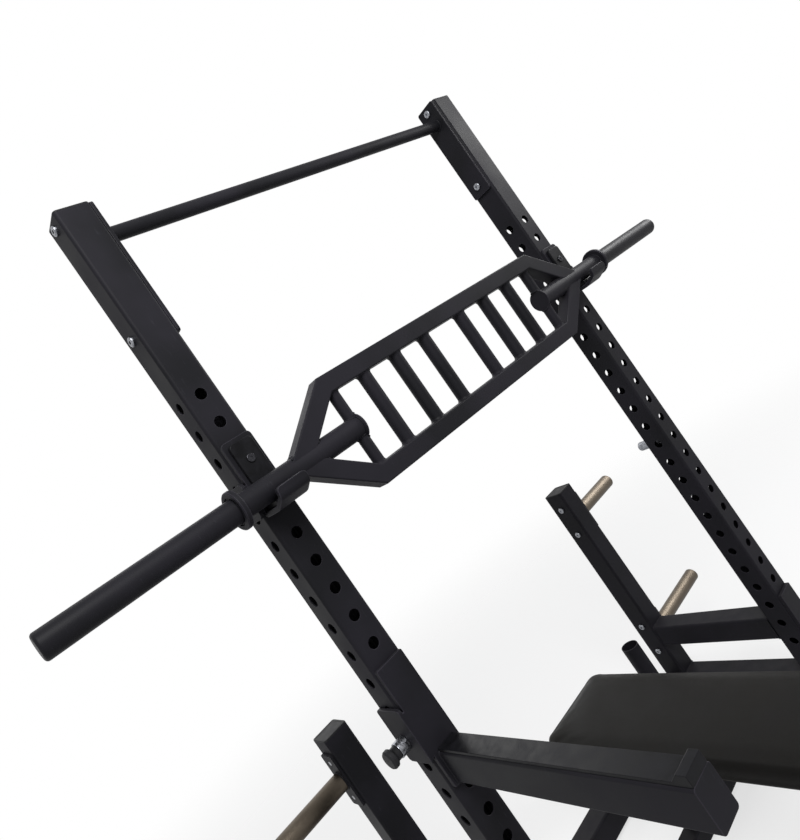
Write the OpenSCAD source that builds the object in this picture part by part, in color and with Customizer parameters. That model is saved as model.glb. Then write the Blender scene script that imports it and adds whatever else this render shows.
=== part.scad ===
// Half rack with a multi-grip bar on its J-hooks, safety arms, plate storage and a flat bench.
// Millimetres, +Z up, +Y towards the back. The origin is on the floor, in the middle of the outline.

/* [Frame tubes] */
// Outside width of the square rack tubes
tube_w = 75; // [70:1:80]
// Wall of the rack tubes
tube_wall = 3; // [2:0.5:5]
// Outside corner radius of the rack tubes
tube_r = 8; // [6:0.5:12]
// Thickness of the caps that close the tube ends
cap_t = 4; // [2:0.5:8]
// Depth that a cap's plug reaches into its tube
plug_l = 6; // [3:0.5:8]
// Thickness of the rubber feet
foot_t = 12; // [6:1:25]
// Diameter of the rubber feet
foot_d = 64; // [40:1:70]

/* [Uprights] */
// Distance between the centre lines of the uprights
upright_gap = 1160; // [1120:1:1240]
// Height of the upright tubes' top ends
upright_top = 2106; // [2060:1:2200]
// Diameter of the accessory holes
hole_d = 24; // [20:0.5:28]
// Pitch of the accessory holes
hole_pitch = 64; // [62:0.5:65]
// Height of the topmost accessory hole
top_hole_z = 1675; // [1660:1:1760]
// Number of accessory holes in a face
hole_count = 24; // [22:1:25]

/* [Base and posts] */
// Reach of the base tubes in front of the uprights
base_front = 420; // [300:5:600]
// Distance from the uprights' front face to the storage posts' front face
post_y = 482; // [420:1:600]
// Height of the storage posts' top ends
post_top = 856; // [840:1:1000]
// Height of the side tubes' undersides
side_tube_z = 210; // [180:1:240]
// Distance of the bar holders from the middle
holder_x = 440; // [200:1:480]
// Outside diameter of the bar holders
holder_d = 60; // [56:0.5:70]
// Wall of the bar holders
holder_wall = 3; // [2:0.25:4]
// Height of the bar holders above the cross tube
holder_h = 210; // [120:1:300]

/* [Plate storage] */
// Diameter of the storage pegs
peg_d = 48; // [40:0.5:50]
// Wall of the storage pegs
peg_wall = 4; // [2:0.5:8]
// Length of the upper pegs
upper_peg_l = 205; // [120:1:300]
// Height of the upper pegs
upper_peg_z = 746; // [700:1:770]
// Length of the lower pegs
lower_peg_l = 301; // [120:1:400]
// Height of the lower pegs
lower_peg_z = 244; // [235:1:300]
// Width of the plates behind the pegs
peg_plate_w = 58; // [54:1:70]
// Height of the plates behind the pegs
peg_plate_h = 150; // [140:1:170]
// Thickness of the plates behind the pegs
peg_plate_t = 8; // [5:0.5:12]
// Distance between the two bolts of a peg
peg_bolt_gap = 104; // [96:1:110]

/* [Bolts] */
// Diameter of the bolt shanks
bolt_d = 12; // [8:0.5:14]
// Diameter of the button heads
head_d = 21; // [18:0.5:26]
// Height of the button heads
head_h = 6; // [4:0.5:9]
// Width across the flats of the head sockets
socket_w = 7; // [5:0.5:9]
// Radial play of a bolt in its holes
bolt_play = 0.3; // [0.1:0.1:1]

/* [Pull-up bar] */
// Diameter of the pull-up bar
pull_d = 32; // [26:0.5:40]
// Wall of the pull-up bar
pull_wall = 3; // [2:0.5:5]
// Depth of the pull-up bar's axis below the plates' top
pull_drop = 63; // [50:1:120]
// Width of the pull-up plates
pull_plate_w = 68; // [50:1:70]
// Height of the pull-up plates
pull_plate_h = 305; // [290:1:340]
// Thickness of the pull-up plates
pull_plate_t = 8; // [5:0.5:12]
// Distance of the upper bolt below the plates' top
pull_bolt_drop = 20; // [18:1:26]
// Distance between the two bolts of a pull-up plate
pull_bolt_gap = 257; // [240:1:265]

/* [J-hooks] */
// Hole, counted from the top one as 0, that takes the hook's pin
hook_hole = 3; // [2:1:4]
// Width of the hooks
hook_w = 70; // [60:1:74]
// Thickness of the hooks' steel
hook_t = 10; // [6:0.5:12]
// Height of the hooks' plates above their pins
hook_rise = 87; // [70:1:100]
// Depth of the hooks' undersides below their pins
hook_drop = 74; // [66:1:90]
// Depth of the hooks from the upright to the front of the lip
hook_depth = 105; // [98:1:125]
// Height of the lips above the hooks' undersides
lip_h = 38; // [30:1:45]
// Length of the slope under the lips
toe_l = 36; // [24:1:40]
// Thickness of the liners
liner_t = 10; // [6:0.5:14]
// Width of the liners
liner_w = 52; // [40:1:60]
// Height of a hook's ear above its pin
ear_rise = 8; // [0:1:20]
// Thickness of the ears
ear_t = 8; // [5:0.5:12]
// Reach of the ears along the upright's side
ear_l = 72; // [60:1:74]
// Radial play of the hook pins in the accessory holes
pin_play = 1; // [0.5:0.1:2]
// Length of the hook pins behind the plates
pin_l = 45; // [20:1:60]

/* [Multi-grip bar] */
// Diameter of the bar's pipes
pipe_d = 48; // [44:0.5:50]
// Wall of the bar's pipes
pipe_wall = 5; // [3:0.5:8]
// Diameter of the sleeves outside the collars
sleeve_d = 49; // [45:0.5:50]
// Length of each sleeve outside its collar
sleeve_l = 352; // [250:1:450]
// Thickness of the sleeve end caps
tip_t = 8; // [6:0.5:12]
// Diameter of the collars
collar_d = 78; // [60:1:90]
// Length of the collars
collar_l = 12; // [8:1:30]
// Gap from a hook's ear to the collar
collar_gap = 40; // [20:1:60]
// Gap from a hook's inner edge to the frame's tip
tip_gap = 19; // [6:1:30]
// Gap between a racked pipe and the liner behind it
pipe_gap = 3; // [1:0.5:8]
// Overall height of the grip frame
frame_h = 254; // [230:1:280]
// Width of the frame's square tubes
rail_w = 40; // [32:1:42]
// Wall of the frame's square tubes
rail_wall = 3; // [2:0.5:5]
// Run of the frame's slanted ends along the bar
slant_l = 138; // [110:1:160]
// Diameter of the grips
grip_d = 32; // [25:0.5:36]
// Number of grips on each side of the middle
grip_count = 3; // [2:1:3]
// Distance of the first grip from the middle
grip_first = 69.5; // [50:0.5:75]
// Pitch of the grips
grip_pitch = 101; // [90:0.5:106]
// Distance of the end struts inside the rails' outer corners
strut_inset = 24; // [18:1:28]
// Diameter of the end struts
strut_d = 26; // [22:0.5:32]
// How far the end struts reach inwards past the pipe's end
strut_over = 8; // [0:0.5:10]
// Diameter of the discs on the pipes' inner ends
disc_d = 58; // [52:1:70]
// Thickness of those discs
disc_t = 4; // [2:0.5:8]

/* [Safety arms] */
// Holes from the J-hooks down to the left safety arm
left_drop = 8; // [8:1:9]
// Holes from the J-hooks down to the right safety arm
right_drop = 19; // [17:1:19]
// Depth of the arm plates below their pins
arm_drop = 174; // [170:1:177]
// Width of the arms
arm_w = 50; // [40:1:60]
// Height of the arms
arm_h = 70; // [60:1:80]
// Length of the arms in front of their plates
arm_l = 540; // [300:5:700]
// Thickness of the wear strips on the arms
strip_t = 6; // [4:0.5:10]
// Distance of the wear strips from the arms' side faces
strip_inset = 3; // [1:0.5:8]
// Length of the raised stops at the strips' front ends
stop_l = 16; // [8:1:30]
// Length of the slopes behind those stops
stop_slope = 12; // [6:1:30]
// Depth of the arm ears below their pins
arm_ear_drop = 112; // [100:1:130]
// Diameter of the pull pins
lock_d = 16; // [12:0.5:18]
// Radial running clearance of the pull pins
lock_play = 0.05; // [0.02:0.01:0.1]
// Reach of the pull pins into the uprights
lock_reach = 12; // [8:1:20]
// Outside diameter of the pull-pin housings
housing_d = 32; // [26:1:36]
// Length of the pull-pin housings
housing_l = 24; // [15:1:40]
// Diameter of the pull-pin knobs
knob_d = 38; // [30:1:50]
// Length of the pull-pin knobs
knob_l = 26; // [15:1:40]

/* [Bench] */
// Width of the bench pad
pad_w = 300; // [250:1:340]
// Length of the bench pad
pad_l = 1200; // [1000:5:1300]
// Thickness of the pad at its crown
pad_t = 60; // [40:1:80]
// Height of the pad's crown above the floor
pad_top = 440; // [400:1:480]
// Corner radius of the pad seen from above
pad_r = 45; // [25:1:70]
// Rise of the pad's crown above its edge
pad_crown = 9; // [4:1:14]
// Amount that the pad's sides draw in at top and bottom
pad_draw = 9; // [4:1:14]
// Distance of the pad's back end behind the uprights' front face
bench_back = 415; // [250:1:430]
// Thickness of the board under the pad
board_t = 15; // [10:1:22]
// Thickness of the brackets under the board
bracket_t = 6; // [4:0.5:10]
// Width of the bench spine and legs
spine_w = 50; // [40:1:60]
// Height of the bench spine
spine_h = 75; // [60:1:90]
// Distance of the legs from the pad's ends
leg_inset = 190; // [150:1:260]
// Length of the bench's foot tubes
bench_foot_l = 500; // [400:1:600]

/* [Hidden] */
$fn = 48;
// Gap between pieces of different bodies that lie against each other
rest_gap = 0.3;
// Gap left for the weld at a coped tube end
weld_gap = 0.2;
// Overlap of cutting shapes past the faces that they open
cut = 1;

upright_x = upright_gap / 2;
inner_x = upright_x - tube_w / 2;
outer_x = upright_x + tube_w / 2;
base_top = foot_t + tube_w;
rack_back = post_y + tube_w + cap_t;
pad_front = pad_l - bench_back;
rack_y = (max(pad_front, base_front + cap_t) - rack_back) / 2;
function hole_z(i) = top_hole_z - i * hole_pitch;
// Holes that fit between the topmost one and the base tube
hole_n = min(hole_count, 1 + floor((top_hole_z - base_top - hole_d) / hole_pitch));

pull_top = upright_top + cap_t;
pull_bolt_z = [pull_top - pull_bolt_drop, pull_top - pull_bolt_drop - pull_bolt_gap];
peg_bolt_z = [for (z = [upper_peg_z, lower_peg_z], s = [-1, 1]) z + s * peg_bolt_gap / 2];

ear_gap = 0.5;
ear_x = tube_w / 2 + ear_gap;
hook_z = hole_z(hook_hole);
hook_floor = hook_z - hook_drop + hook_t;
// Bevel along the liners' top edges
liner_bevel = 4;
screw_z = 37;
screw_d = 18;
screw_h = 3;
screw_shank = 8;

bar_y = -(hook_t + liner_t + pipe_gap + pipe_d / 2);
bar_z = hook_floor + liner_t + rest_gap + pipe_d / 2;
collar_x = upright_x + ear_x + ear_t + collar_gap;
collar_bevel = 2;
// Recess for the weld around the pipe in a collar's outer face
recess_w = 5;
recess_t = 3;
// Rounding of the sleeve end caps
tip_r = 6;
sleeve_end = collar_x + collar_l + sleeve_l;
tip_x = upright_x - hook_w / 2 - tip_gap;
rail_x = tip_x - slant_l;
strut_x = rail_x - strut_inset;
pipe_in = strut_x - strut_d / 2 + strut_over;
half_h = frame_h / 2;
slant_a = atan2(half_h - pipe_d / 2, slant_l);
rail_in_x = rail_x - rail_w * tan(slant_a / 2);

lock_z = -hole_pitch;
// Height of an arm's underside above the lower edge of its plate
arm_lift = 1;
// Least gap between an arm's plate and the base tube under it
arm_clear = 5;
// Lowest hole in which an arm's plate clears the base tube
low_hole = floor((top_hole_z - base_top - arm_drop - arm_clear) / hole_pitch);
arm_top = -arm_drop + arm_lift + arm_h;
knob_x = ear_x + ear_t + housing_l + rest_gap;

pad_base = pad_top - pad_t;
spine_top = pad_base - board_t - bracket_t;
leg_y = [bench_back - leg_inset, leg_inset - pad_front];
bench_foot_top = foot_t + spine_w;

black = [0.13, 0.13, 0.14];
dark = [0.08, 0.08, 0.09];
zinc = [0.78, 0.78, 0.8];
brushed = [0.68, 0.65, 0.6];

// Everything is drawn from the uprights' front face, then moved to the shared origin.
module rack() {
    translate([0, rack_y, 0]) children();
}

module mirrored() {
    mirror([1, 0, 0]) children();
}

module both_sides() {
    children();
    mirror([1, 0, 0]) children();
}

module rounded(w, h, r) {
    square([w - 2 * r, h], center = true);
    square([w, h - 2 * r], center = true);
    for (x = [-1, 1], y = [-1, 1]) translate([x * (w / 2 - r), y * (h / 2 - r)]) circle(r);
}

module tube_section(w, h, wall, r) {
    difference() {
        rounded(w, h, r);
        rounded(w - 2 * wall, h - 2 * wall, max(r - wall, 1));
    }
}

module tube_z(w, h, wall, r, l) {
    linear_extrude(l) tube_section(w, h, wall, r);
}

module tube_y(w, h, wall, r, l) {
    rotate([-90, 0, 0]) linear_extrude(l) tube_section(w, h, wall, r);
}

module tube_x(w, h, wall, r, l) {
    rotate([0, 90, 0]) linear_extrude(l) tube_section(h, w, wall, r);
}

// A side view drawn as (y, z), given a width along X.
module along_x(w) {
    rotate([90, 0, 90]) linear_extrude(w) children();
}

module rod_x(d, l) {
    rotate([0, 90, 0]) cylinder(d = d, h = l);
}

module rod_y(d, l) {
    rotate([-90, 0, 0]) cylinder(d = d, h = l);
}

// Cap on a tube end: a plate with the tube's outline and a plug inside the tube.
module tube_cap(w, h, wall, r, t, plug) {
    linear_extrude(t) rounded(w, h, r);
    translate([0, 0, -plug])
        linear_extrude(plug + cut)
            rounded(w - 2 * wall - 0.4, h - 2 * wall - 0.4, max(r - wall, 1));
}

// Button head with a hex socket, seated on z = 0.
module button_head(d, h) {
    difference() {
        rotate_extrude()
            polygon([[0, 0], [d / 2, 0], [d / 2, h * 0.3], [d * 0.42, h * 0.72], [d * 0.27, h], [0, h]]);
        translate([0, 0, h * 0.45]) cylinder(d = socket_w / cos(30), h = h, $fn = 6);
    }
}

// Upright with its accessory holes in all four faces.
module upright_tube() {
    translate([upright_x, tube_w / 2, 0]) difference() {
        translate([0, 0, base_top]) tube_z(tube_w, tube_w, tube_wall, tube_r, upright_top - base_top);
        for (i = [0 : hole_n - 1]) translate([0, 0, hole_z(i)]) {
            translate([-tube_w, 0, 0]) rod_x(hole_d, 2 * tube_w);
            translate([0, -tube_w, 0]) rod_y(hole_d, 2 * tube_w);
        }
        for (z = pull_bolt_z) translate([-tube_w, 0, z]) rod_x(bolt_d + 2 * bolt_play, 2 * tube_w);
    }
}

module left_upright() color(black) rack() mirrored() upright_tube();
module right_upright() color(black) rack() upright_tube();

module upright_caps() color(dark) rack() both_sides()
    translate([upright_x, tube_w / 2, upright_top])
        tube_cap(tube_w, tube_w, tube_wall, tube_r, cap_t, plug_l);

module base_tube() {
    translate([upright_x, -base_front, foot_t + tube_w / 2])
        tube_y(tube_w, tube_w, tube_wall, tube_r, base_front + post_y + tube_w);
}

module left_base_tube() color(black) rack() mirrored() base_tube();
module right_base_tube() color(black) rack() base_tube();

module base_caps() color(dark) rack() both_sides() translate([upright_x, 0, foot_t + tube_w / 2]) {
    translate([0, -base_front, 0]) rotate([90, 0, 0])
        tube_cap(tube_w, tube_w, tube_wall, tube_r, cap_t, plug_l);
    translate([0, post_y + tube_w, 0]) rotate([-90, 0, 0])
        tube_cap(tube_w, tube_w, tube_wall, tube_r, cap_t, plug_l);
}

module rack_feet() color(dark) rack() both_sides()
    for (y = [tube_w / 2 - base_front, tube_w / 2, post_y + tube_w / 2])
        translate([upright_x, y, 0]) cylinder(d = foot_d, h = foot_t);

module rear_cross_tube() color(black) rack()
    translate([-inner_x, post_y + tube_w / 2, foot_t + tube_w / 2])
        tube_x(tube_w, tube_w, tube_wall, tube_r, 2 * inner_x);

// Storage post: a short upright with bolt holes for its two pegs.
module storage_post() {
    translate([upright_x, post_y + tube_w / 2, 0]) difference() {
        translate([0, 0, base_top]) tube_z(tube_w, tube_w, tube_wall, tube_r, post_top - base_top);
        for (z = peg_bolt_z) translate([-tube_w, 0, z]) rod_x(bolt_d + 2 * bolt_play, 2 * tube_w);
    }
}

module left_storage_post() color(black) rack() mirrored() storage_post();
module right_storage_post() color(black) rack() storage_post();

module post_caps() color(dark) rack() both_sides()
    translate([upright_x, post_y + tube_w / 2, post_top])
        tube_cap(tube_w, tube_w, tube_wall, tube_r, cap_t, plug_l);

module side_tube() {
    translate([upright_x, tube_w, side_tube_z + tube_w / 2])
        tube_y(tube_w, tube_w, tube_wall, tube_r, post_y - tube_w);
}

module left_side_tube() color(black) rack() mirrored() side_tube();
module right_side_tube() color(black) rack() side_tube();

// Storage peg: a closed sleeve with a rounded tip on a two-bolt plate.
module storage_peg(l, z) {
    translate([outer_x, post_y + tube_w / 2, z]) {
        difference() {
            along_x(peg_plate_t) rounded(peg_plate_w, peg_plate_h, 6);
            for (s = [-1, 1]) translate([-cut, 0, s * peg_bolt_gap / 2])
                rod_x(bolt_d + 2 * bolt_play, peg_plate_t + 2 * cut);
        }
        translate([peg_plate_t, 0, 0]) rotate([0, 90, 0]) rotate_extrude()
            polygon([[peg_d / 2 - peg_wall, 0], [peg_d / 2, 0], [peg_d / 2, l - peg_wall],
                [peg_d / 2 - 0.3 * peg_wall, l - 0.3 * peg_wall], [peg_d / 2 - peg_wall, l], [0, l],
                [0, l - peg_wall], [peg_d / 2 - peg_wall, l - peg_wall]]);
    }
}

module left_upper_peg() color(brushed) rack() mirrored() storage_peg(upper_peg_l, upper_peg_z);
module right_upper_peg() color(brushed) rack() storage_peg(upper_peg_l, upper_peg_z);
module left_lower_peg() color(brushed) rack() mirrored() storage_peg(lower_peg_l, lower_peg_z);
module right_lower_peg() color(brushed) rack() storage_peg(lower_peg_l, lower_peg_z);

// Bolts whose heads show on the posts' inner faces; their shanks end in the peg plates.
module storage_bolts() color(zinc) rack() both_sides()
    for (z = peg_bolt_z) translate([inner_x, post_y + tube_w / 2, z]) {
        rotate([0, -90, 0]) button_head(head_d, head_h);
        rod_x(bolt_d, tube_w + peg_plate_t);
    }

module pull_up_bar() color(black) rack()
    translate([pull_plate_t - inner_x, tube_w / 2, pull_top - pull_drop]) difference() {
        rod_x(pull_d, 2 * (inner_x - pull_plate_t));
        translate([-cut, 0, 0]) rod_x(pull_d - 2 * pull_wall, 2 * (inner_x - pull_plate_t) + 2 * cut);
    }

module pull_up_plates() color(black) rack() both_sides()
    translate([inner_x - pull_plate_t, tube_w / 2, 0]) difference() {
        translate([0, 0, pull_top - pull_plate_h / 2])
            along_x(pull_plate_t) rounded(pull_plate_w, pull_plate_h, 6);
        for (z = pull_bolt_z) translate([-cut, 0, z])
            rod_x(bolt_d + 2 * bolt_play, pull_plate_t + 2 * cut);
    }

module pull_up_bolts() color(zinc) rack() both_sides()
    for (z = pull_bolt_z) translate([outer_x, tube_w / 2, z]) {
        rotate([0, 90, 0]) button_head(head_d, head_h);
        translate([-tube_w - pull_plate_t, 0, 0]) rod_x(bolt_d, tube_w + pull_plate_t);
    }

module pull_up_nuts() color(zinc) rack() both_sides()
    for (z = pull_bolt_z) translate([inner_x - pull_plate_t, tube_w / 2, z])
        rotate([0, -90, 0]) button_head(head_d, head_h);

// Plate on the upright's front face, with the ear that reaches along the upright's outer side.
module ear_side(rise, drop, gap) {
    translate([ear_x, 0, 0]) along_x(ear_t)
        translate([(ear_l - hook_t - gap) / 2, (rise - drop) / 2])
            rounded(ear_l + hook_t + gap, rise + drop, hook_t - 1);
    translate([hook_w / 2 - cut, -hook_t - gap, -drop + hook_t])
        cube([ear_x + ear_t / 2 - hook_w / 2 + cut, hook_t, rise + drop - 2 * hook_t]);
}

// J-hook: bent plate with a sloped toe under its lip, drawn on the right upright.
module j_hook() {
    translate([upright_x, 0, hook_z]) difference() {
        union() {
            translate([-hook_w / 2, 0, 0]) along_x(hook_w)
                polygon([[0, hook_rise], [0, -hook_drop], [toe_l - hook_depth, -hook_drop],
                    [2 - hook_depth, toe_l / 2 - hook_drop], [-hook_depth, lip_h - hook_drop],
                    [hook_t - hook_depth, lip_h - hook_drop],
                    [hook_t + 2 - hook_depth, toe_l / 2 + hook_t / 3 - hook_drop],
                    [toe_l + hook_t / 2 - hook_depth, hook_t - hook_drop],
                    [-hook_t, hook_t - hook_drop], [-hook_t, hook_rise]]);
            ear_side(ear_rise, hook_drop - hook_t / 2, 0);
        }
        translate([0, -hook_t - cut, screw_z]) rod_y(screw_shank + 2 * bolt_play, hook_t + 2 * cut);
    }
}

module left_j_hook() color(black) rack() mirrored() j_hook();
module right_j_hook() color(black) rack() j_hook();

// Liner that keeps the bar off the steel: a back panel and a floor slab.
module hook_liner() {
    floor_l = hook_depth - toe_l - hook_t / 2 - hook_t;
    translate([upright_x, 0, hook_z]) difference() {
        translate([-liner_w / 2, 0, 0]) along_x(liner_w)
            polygon([[-hook_t, hook_rise - hook_t], [-hook_t, hook_t - hook_drop],
                [-hook_t - floor_l, hook_t - hook_drop], [-hook_t - floor_l, hook_t + liner_t - hook_drop],
                [-hook_t - liner_t, hook_t + liner_t - hook_drop],
                [-hook_t - liner_t, hook_rise - hook_t - liner_bevel],
                [-hook_t - liner_t + liner_bevel, hook_rise - hook_t]]);
        translate([0, -hook_t - liner_t - cut, screw_z])
            rod_y(screw_shank + 2 * bolt_play, liner_t + 2 * cut);
    }
}

module left_hook_liner() color(dark) rack() mirrored() hook_liner();
module right_hook_liner() color(dark) rack() hook_liner();

module hook_pins() color(black) rack() both_sides()
    translate([upright_x, 0, hook_z]) rod_y(hole_d - 2 * pin_play, pin_l);

module hook_screws() color(zinc) rack() both_sides()
    translate([upright_x, -hook_t - liner_t, hook_z + screw_z]) {
        rotate([90, 0, 0]) button_head(screw_d, screw_h);
        rod_y(screw_shank, hook_t + liner_t);
    }

// Sockets for the end of a stored bar, on the rear cross tube.
module bar_holders() color(black) rack() both_sides()
    translate([holder_x, post_y + tube_w / 2, base_top]) difference() {
        cylinder(d = holder_d, h = holder_h);
        translate([0, 0, -cut]) cylinder(d = holder_d - 2 * holder_wall, h = holder_h + 2 * cut);
    }

// Pegs in the uprights' rear faces, with a shoulder and a rounded end.
band_hole = 12;
band_d = hole_d + 4;
band_l = 48;
band_bevel = 4;
module band_pegs() color(zinc) rack() both_sides()
    translate([upright_x, tube_w, hole_z(band_hole)]) {
        translate([0, -pin_l / 2, 0]) rod_y(hole_d - 2 * pin_play, pin_l / 2 + cut);
        rotate([-90, 0, 0]) rotate_extrude()
            polygon([[0, 0], [band_d / 2, 0], [band_d / 2, band_l - band_bevel],
                [band_d / 2 - band_bevel, band_l], [0, band_l]]);
    }

module on_bar() {
    translate([0, rack_y + bar_y, bar_z]) children();
}

// Pipe of the bar: the sleeve outside, on through the collar to the end strut.
module bar_pipe() {
    difference() {
        union() {
            translate([pipe_in, 0, 0]) rod_x(pipe_d, collar_x + collar_l - pipe_in);
            translate([sleeve_end - sleeve_l, 0, 0]) rod_x(sleeve_d, sleeve_l);
        }
        translate([pipe_in - cut, 0, 0]) rod_x(pipe_d - 2 * pipe_wall, sleeve_end - pipe_in + 2 * cut);
    }
}

module left_bar_pipe() color(black) on_bar() mirrored() bar_pipe();
module right_bar_pipe() color(black) on_bar() bar_pipe();

module bar_collars() color(black) on_bar() both_sides()
    translate([collar_x, 0, 0]) rotate([0, 90, 0]) rotate_extrude()
        polygon([[pipe_d / 2 + weld_gap, 0], [collar_d / 2 - collar_bevel, 0], [collar_d / 2, collar_bevel],
            [collar_d / 2, collar_l - collar_bevel], [collar_d / 2 - collar_bevel, collar_l],
            [pipe_d / 2 + recess_w, collar_l], [pipe_d / 2 + recess_w, collar_l - recess_t],
            [pipe_d / 2 + weld_gap, collar_l - recess_t]]);

module sleeve_caps() color(black) on_bar() both_sides()
    translate([sleeve_end, 0, 0]) rotate([0, 90, 0]) rotate_extrude()
        polygon([[0, 0], [sleeve_d / 2, 0], [sleeve_d / 2, tip_t - tip_r], [sleeve_d / 2 - 0.3 * tip_r,
            tip_t - 0.3 * tip_r], [sleeve_d / 2 - tip_r, tip_t], [0, tip_t]]);

module bar_discs() color(black) on_bar() both_sides()
    translate([pipe_in - disc_t, 0, 0]) rod_x(disc_d, disc_t);

// Mitred tube of the grip frame: its outline in the frame's plane, hollowed by the wall.
module frame_tube(outer, inner) {
    rotate([90, 0, 0]) difference() {
        translate([0, 0, -rail_w / 2]) linear_extrude(rail_w) polygon(outer);
        translate([0, 0, rail_wall - rail_w / 2]) linear_extrude(rail_w - 2 * rail_wall) polygon(inner);
    }
}

// Point where the mitre of the frame's corner meets a line at depth d inside the outline.
function mitre(d) = [rail_x - d * tan(slant_a / 2), half_h - d];
function slant_end(d) = [rail_x - d * tan(slant_a / 2) + (half_h - d) / tan(slant_a), 0];

module rail() {
    a = [for (d = [0, rail_w]) mitre(d)];
    b = [for (d = [rail_wall, rail_w - rail_wall]) mitre(d)];
    s = rail_wall * tan(slant_a / 2);
    frame_tube([[-a[0].x, a[0].y], a[0], a[1], [-a[1].x, a[1].y]],
        [[-b[0].x - s - cut, b[0].y], [b[0].x + s + cut, b[0].y],
            [b[1].x + s + cut, b[1].y], [-b[1].x - s - cut, b[1].y]]);
}

module upper_rail() color(black) on_bar() rail();
module lower_rail() color(black) on_bar() mirror([0, 0, 1]) rail();

// Slanted end tubes, coped to the pipe.
module slant() {
    w = rail_wall;
    difference() {
        frame_tube([mitre(0), slant_end(0), slant_end(rail_w), mitre(rail_w)],
            [mitre(w), slant_end(w), slant_end(rail_w - w), mitre(rail_w - w)]);
        translate([0, 0, 0]) rod_x(pipe_d + 2 * weld_gap, 2 * tip_x);
        translate([0, -rail_w, -rail_w]) cube([2 * tip_x, 2 * rail_w, rail_w]);
    }
}

module slant_pair() {
    slant();
    mirror([0, 0, 1]) slant();
}

module left_slants() color(black) on_bar() mirrored() slant_pair();
module right_slants() color(black) on_bar() slant_pair();

// Round struts from the pipes to the frame's corners, cut to the discs and tubes that they meet.
module end_struts() color(black) on_bar() both_sides() for (m = [0, 1]) mirror([0, 0, m])
    difference() {
        translate([strut_x, 0, 0]) cylinder(d = strut_d, h = half_h - rail_w);
        translate([pipe_in - strut_d, 0, 0]) rod_x(pipe_d + 2 * weld_gap, 3 * strut_d);
        translate([pipe_in - strut_d, 0, 0]) rod_x(disc_d + 2 * weld_gap, strut_d + weld_gap);
        rotate([90, 0, 0]) translate([0, 0, -strut_d])
            linear_extrude(2 * strut_d)
                polygon([mitre(0), slant_end(0), slant_end(rail_w + weld_gap), mitre(rail_w + weld_gap)]);
    }

module bar_grips() color(black) on_bar() both_sides()
    for (i = [0 : grip_count - 1]) translate([grip_first + i * grip_pitch, 0, rail_w - half_h])
        cylinder(d = grip_d, h = frame_h - 2 * rail_w);

function arm_z(drop) = hole_z(min(hook_hole + drop, low_hole));

// Bracket of a safety arm: plate, ear and locating pin, drawn on the right upright.
module arm_bracket(drop) {
    translate([upright_x, 0, arm_z(drop)]) difference() {
        union() {
            translate([0, -rest_gap, (hook_rise - arm_drop) / 2]) rotate([90, 0, 0])
                linear_extrude(hook_t) rounded(hook_w, hook_rise + arm_drop, 4);
            ear_side(ear_rise, arm_ear_drop, rest_gap);
            translate([0, -rest_gap - cut, 0]) rod_y(hole_d - 2 * pin_play, pin_l);
        }
        translate([ear_x - cut, tube_w / 2, lock_z]) rod_x(lock_d + 2 * lock_play + 1, ear_t + 2 * cut);
    }
}

module left_arm_bracket() color(black) rack() mirrored() arm_bracket(left_drop);
module right_arm_bracket() color(black) rack() arm_bracket(right_drop);

// Arm: a closed rectangular tube from the bracket's plate to its front end plate.
module arm_tube(drop) {
    translate([upright_x, -rest_gap - hook_t, arm_z(drop) + arm_top - arm_h / 2]) mirror([0, 1, 0]) {
        tube_y(arm_w, arm_h, tube_wall, tube_r - 2, arm_l - cap_t);
        translate([0, arm_l - cap_t, 0]) rotate([-90, 0, 0]) linear_extrude(cap_t)
            rounded(arm_w, arm_h, tube_r - 2);
    }
}

module left_arm_tube() color(black) rack() mirrored() arm_tube(left_drop);
module right_arm_tube() color(black) rack() arm_tube(right_drop);

// Wear strip on top of an arm, with a raised stop at the front end.
module arm_strip(drop) {
    translate([upright_x - arm_w / 2 + strip_inset, -rest_gap - hook_t, arm_z(drop) + arm_top])
        along_x(arm_w - 2 * strip_inset)
            polygon([[0, 0], [0, strip_t], [stop_l + stop_slope - arm_l, strip_t],
                [stop_l - arm_l, 3 * strip_t], [-arm_l, 3 * strip_t], [-arm_l, 0]]);
}

module left_arm_strip() color(dark) rack() mirrored() arm_strip(left_drop);
module right_arm_strip() color(dark) rack() arm_strip(right_drop);

module at_lock(drop) {
    translate([upright_x, tube_w / 2, arm_z(drop) + lock_z]) children();
}

module pin_housing(drop) {
    at_lock(drop) translate([ear_x + ear_t, 0, 0]) difference() {
        rod_x(housing_d, housing_l);
        translate([-cut, 0, 0]) rod_x(lock_d + 2 * lock_play, housing_l + 2 * cut);
    }
}

module left_pin_housing() color(zinc) rack() mirrored() pin_housing(left_drop);
module right_pin_housing() color(zinc) rack() pin_housing(right_drop);

// Pull pin: a round pin through the housing into the upright, with a waisted knob outside.
module pull_pin(drop) {
    at_lock(drop) {
        translate([tube_w / 2 - lock_reach, 0, 0]) rod_x(lock_d, knob_x + cut - tube_w / 2 + lock_reach);
        translate([knob_x, 0, 0]) rotate([0, 90, 0]) rotate_extrude()
            polygon([[0, 0], [knob_d * 0.36, 0], [knob_d * 0.36, knob_l * 0.35], [knob_d / 2, knob_l * 0.55],
                [knob_d / 2, knob_l * 0.85], [knob_d / 2 - 3, knob_l], [0, knob_l]]);
    }
}

module left_pull_pin() color(dark) rack() mirrored() pull_pin(left_drop);
module right_pull_pin() color(dark) rack() pull_pin(right_drop);

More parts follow.
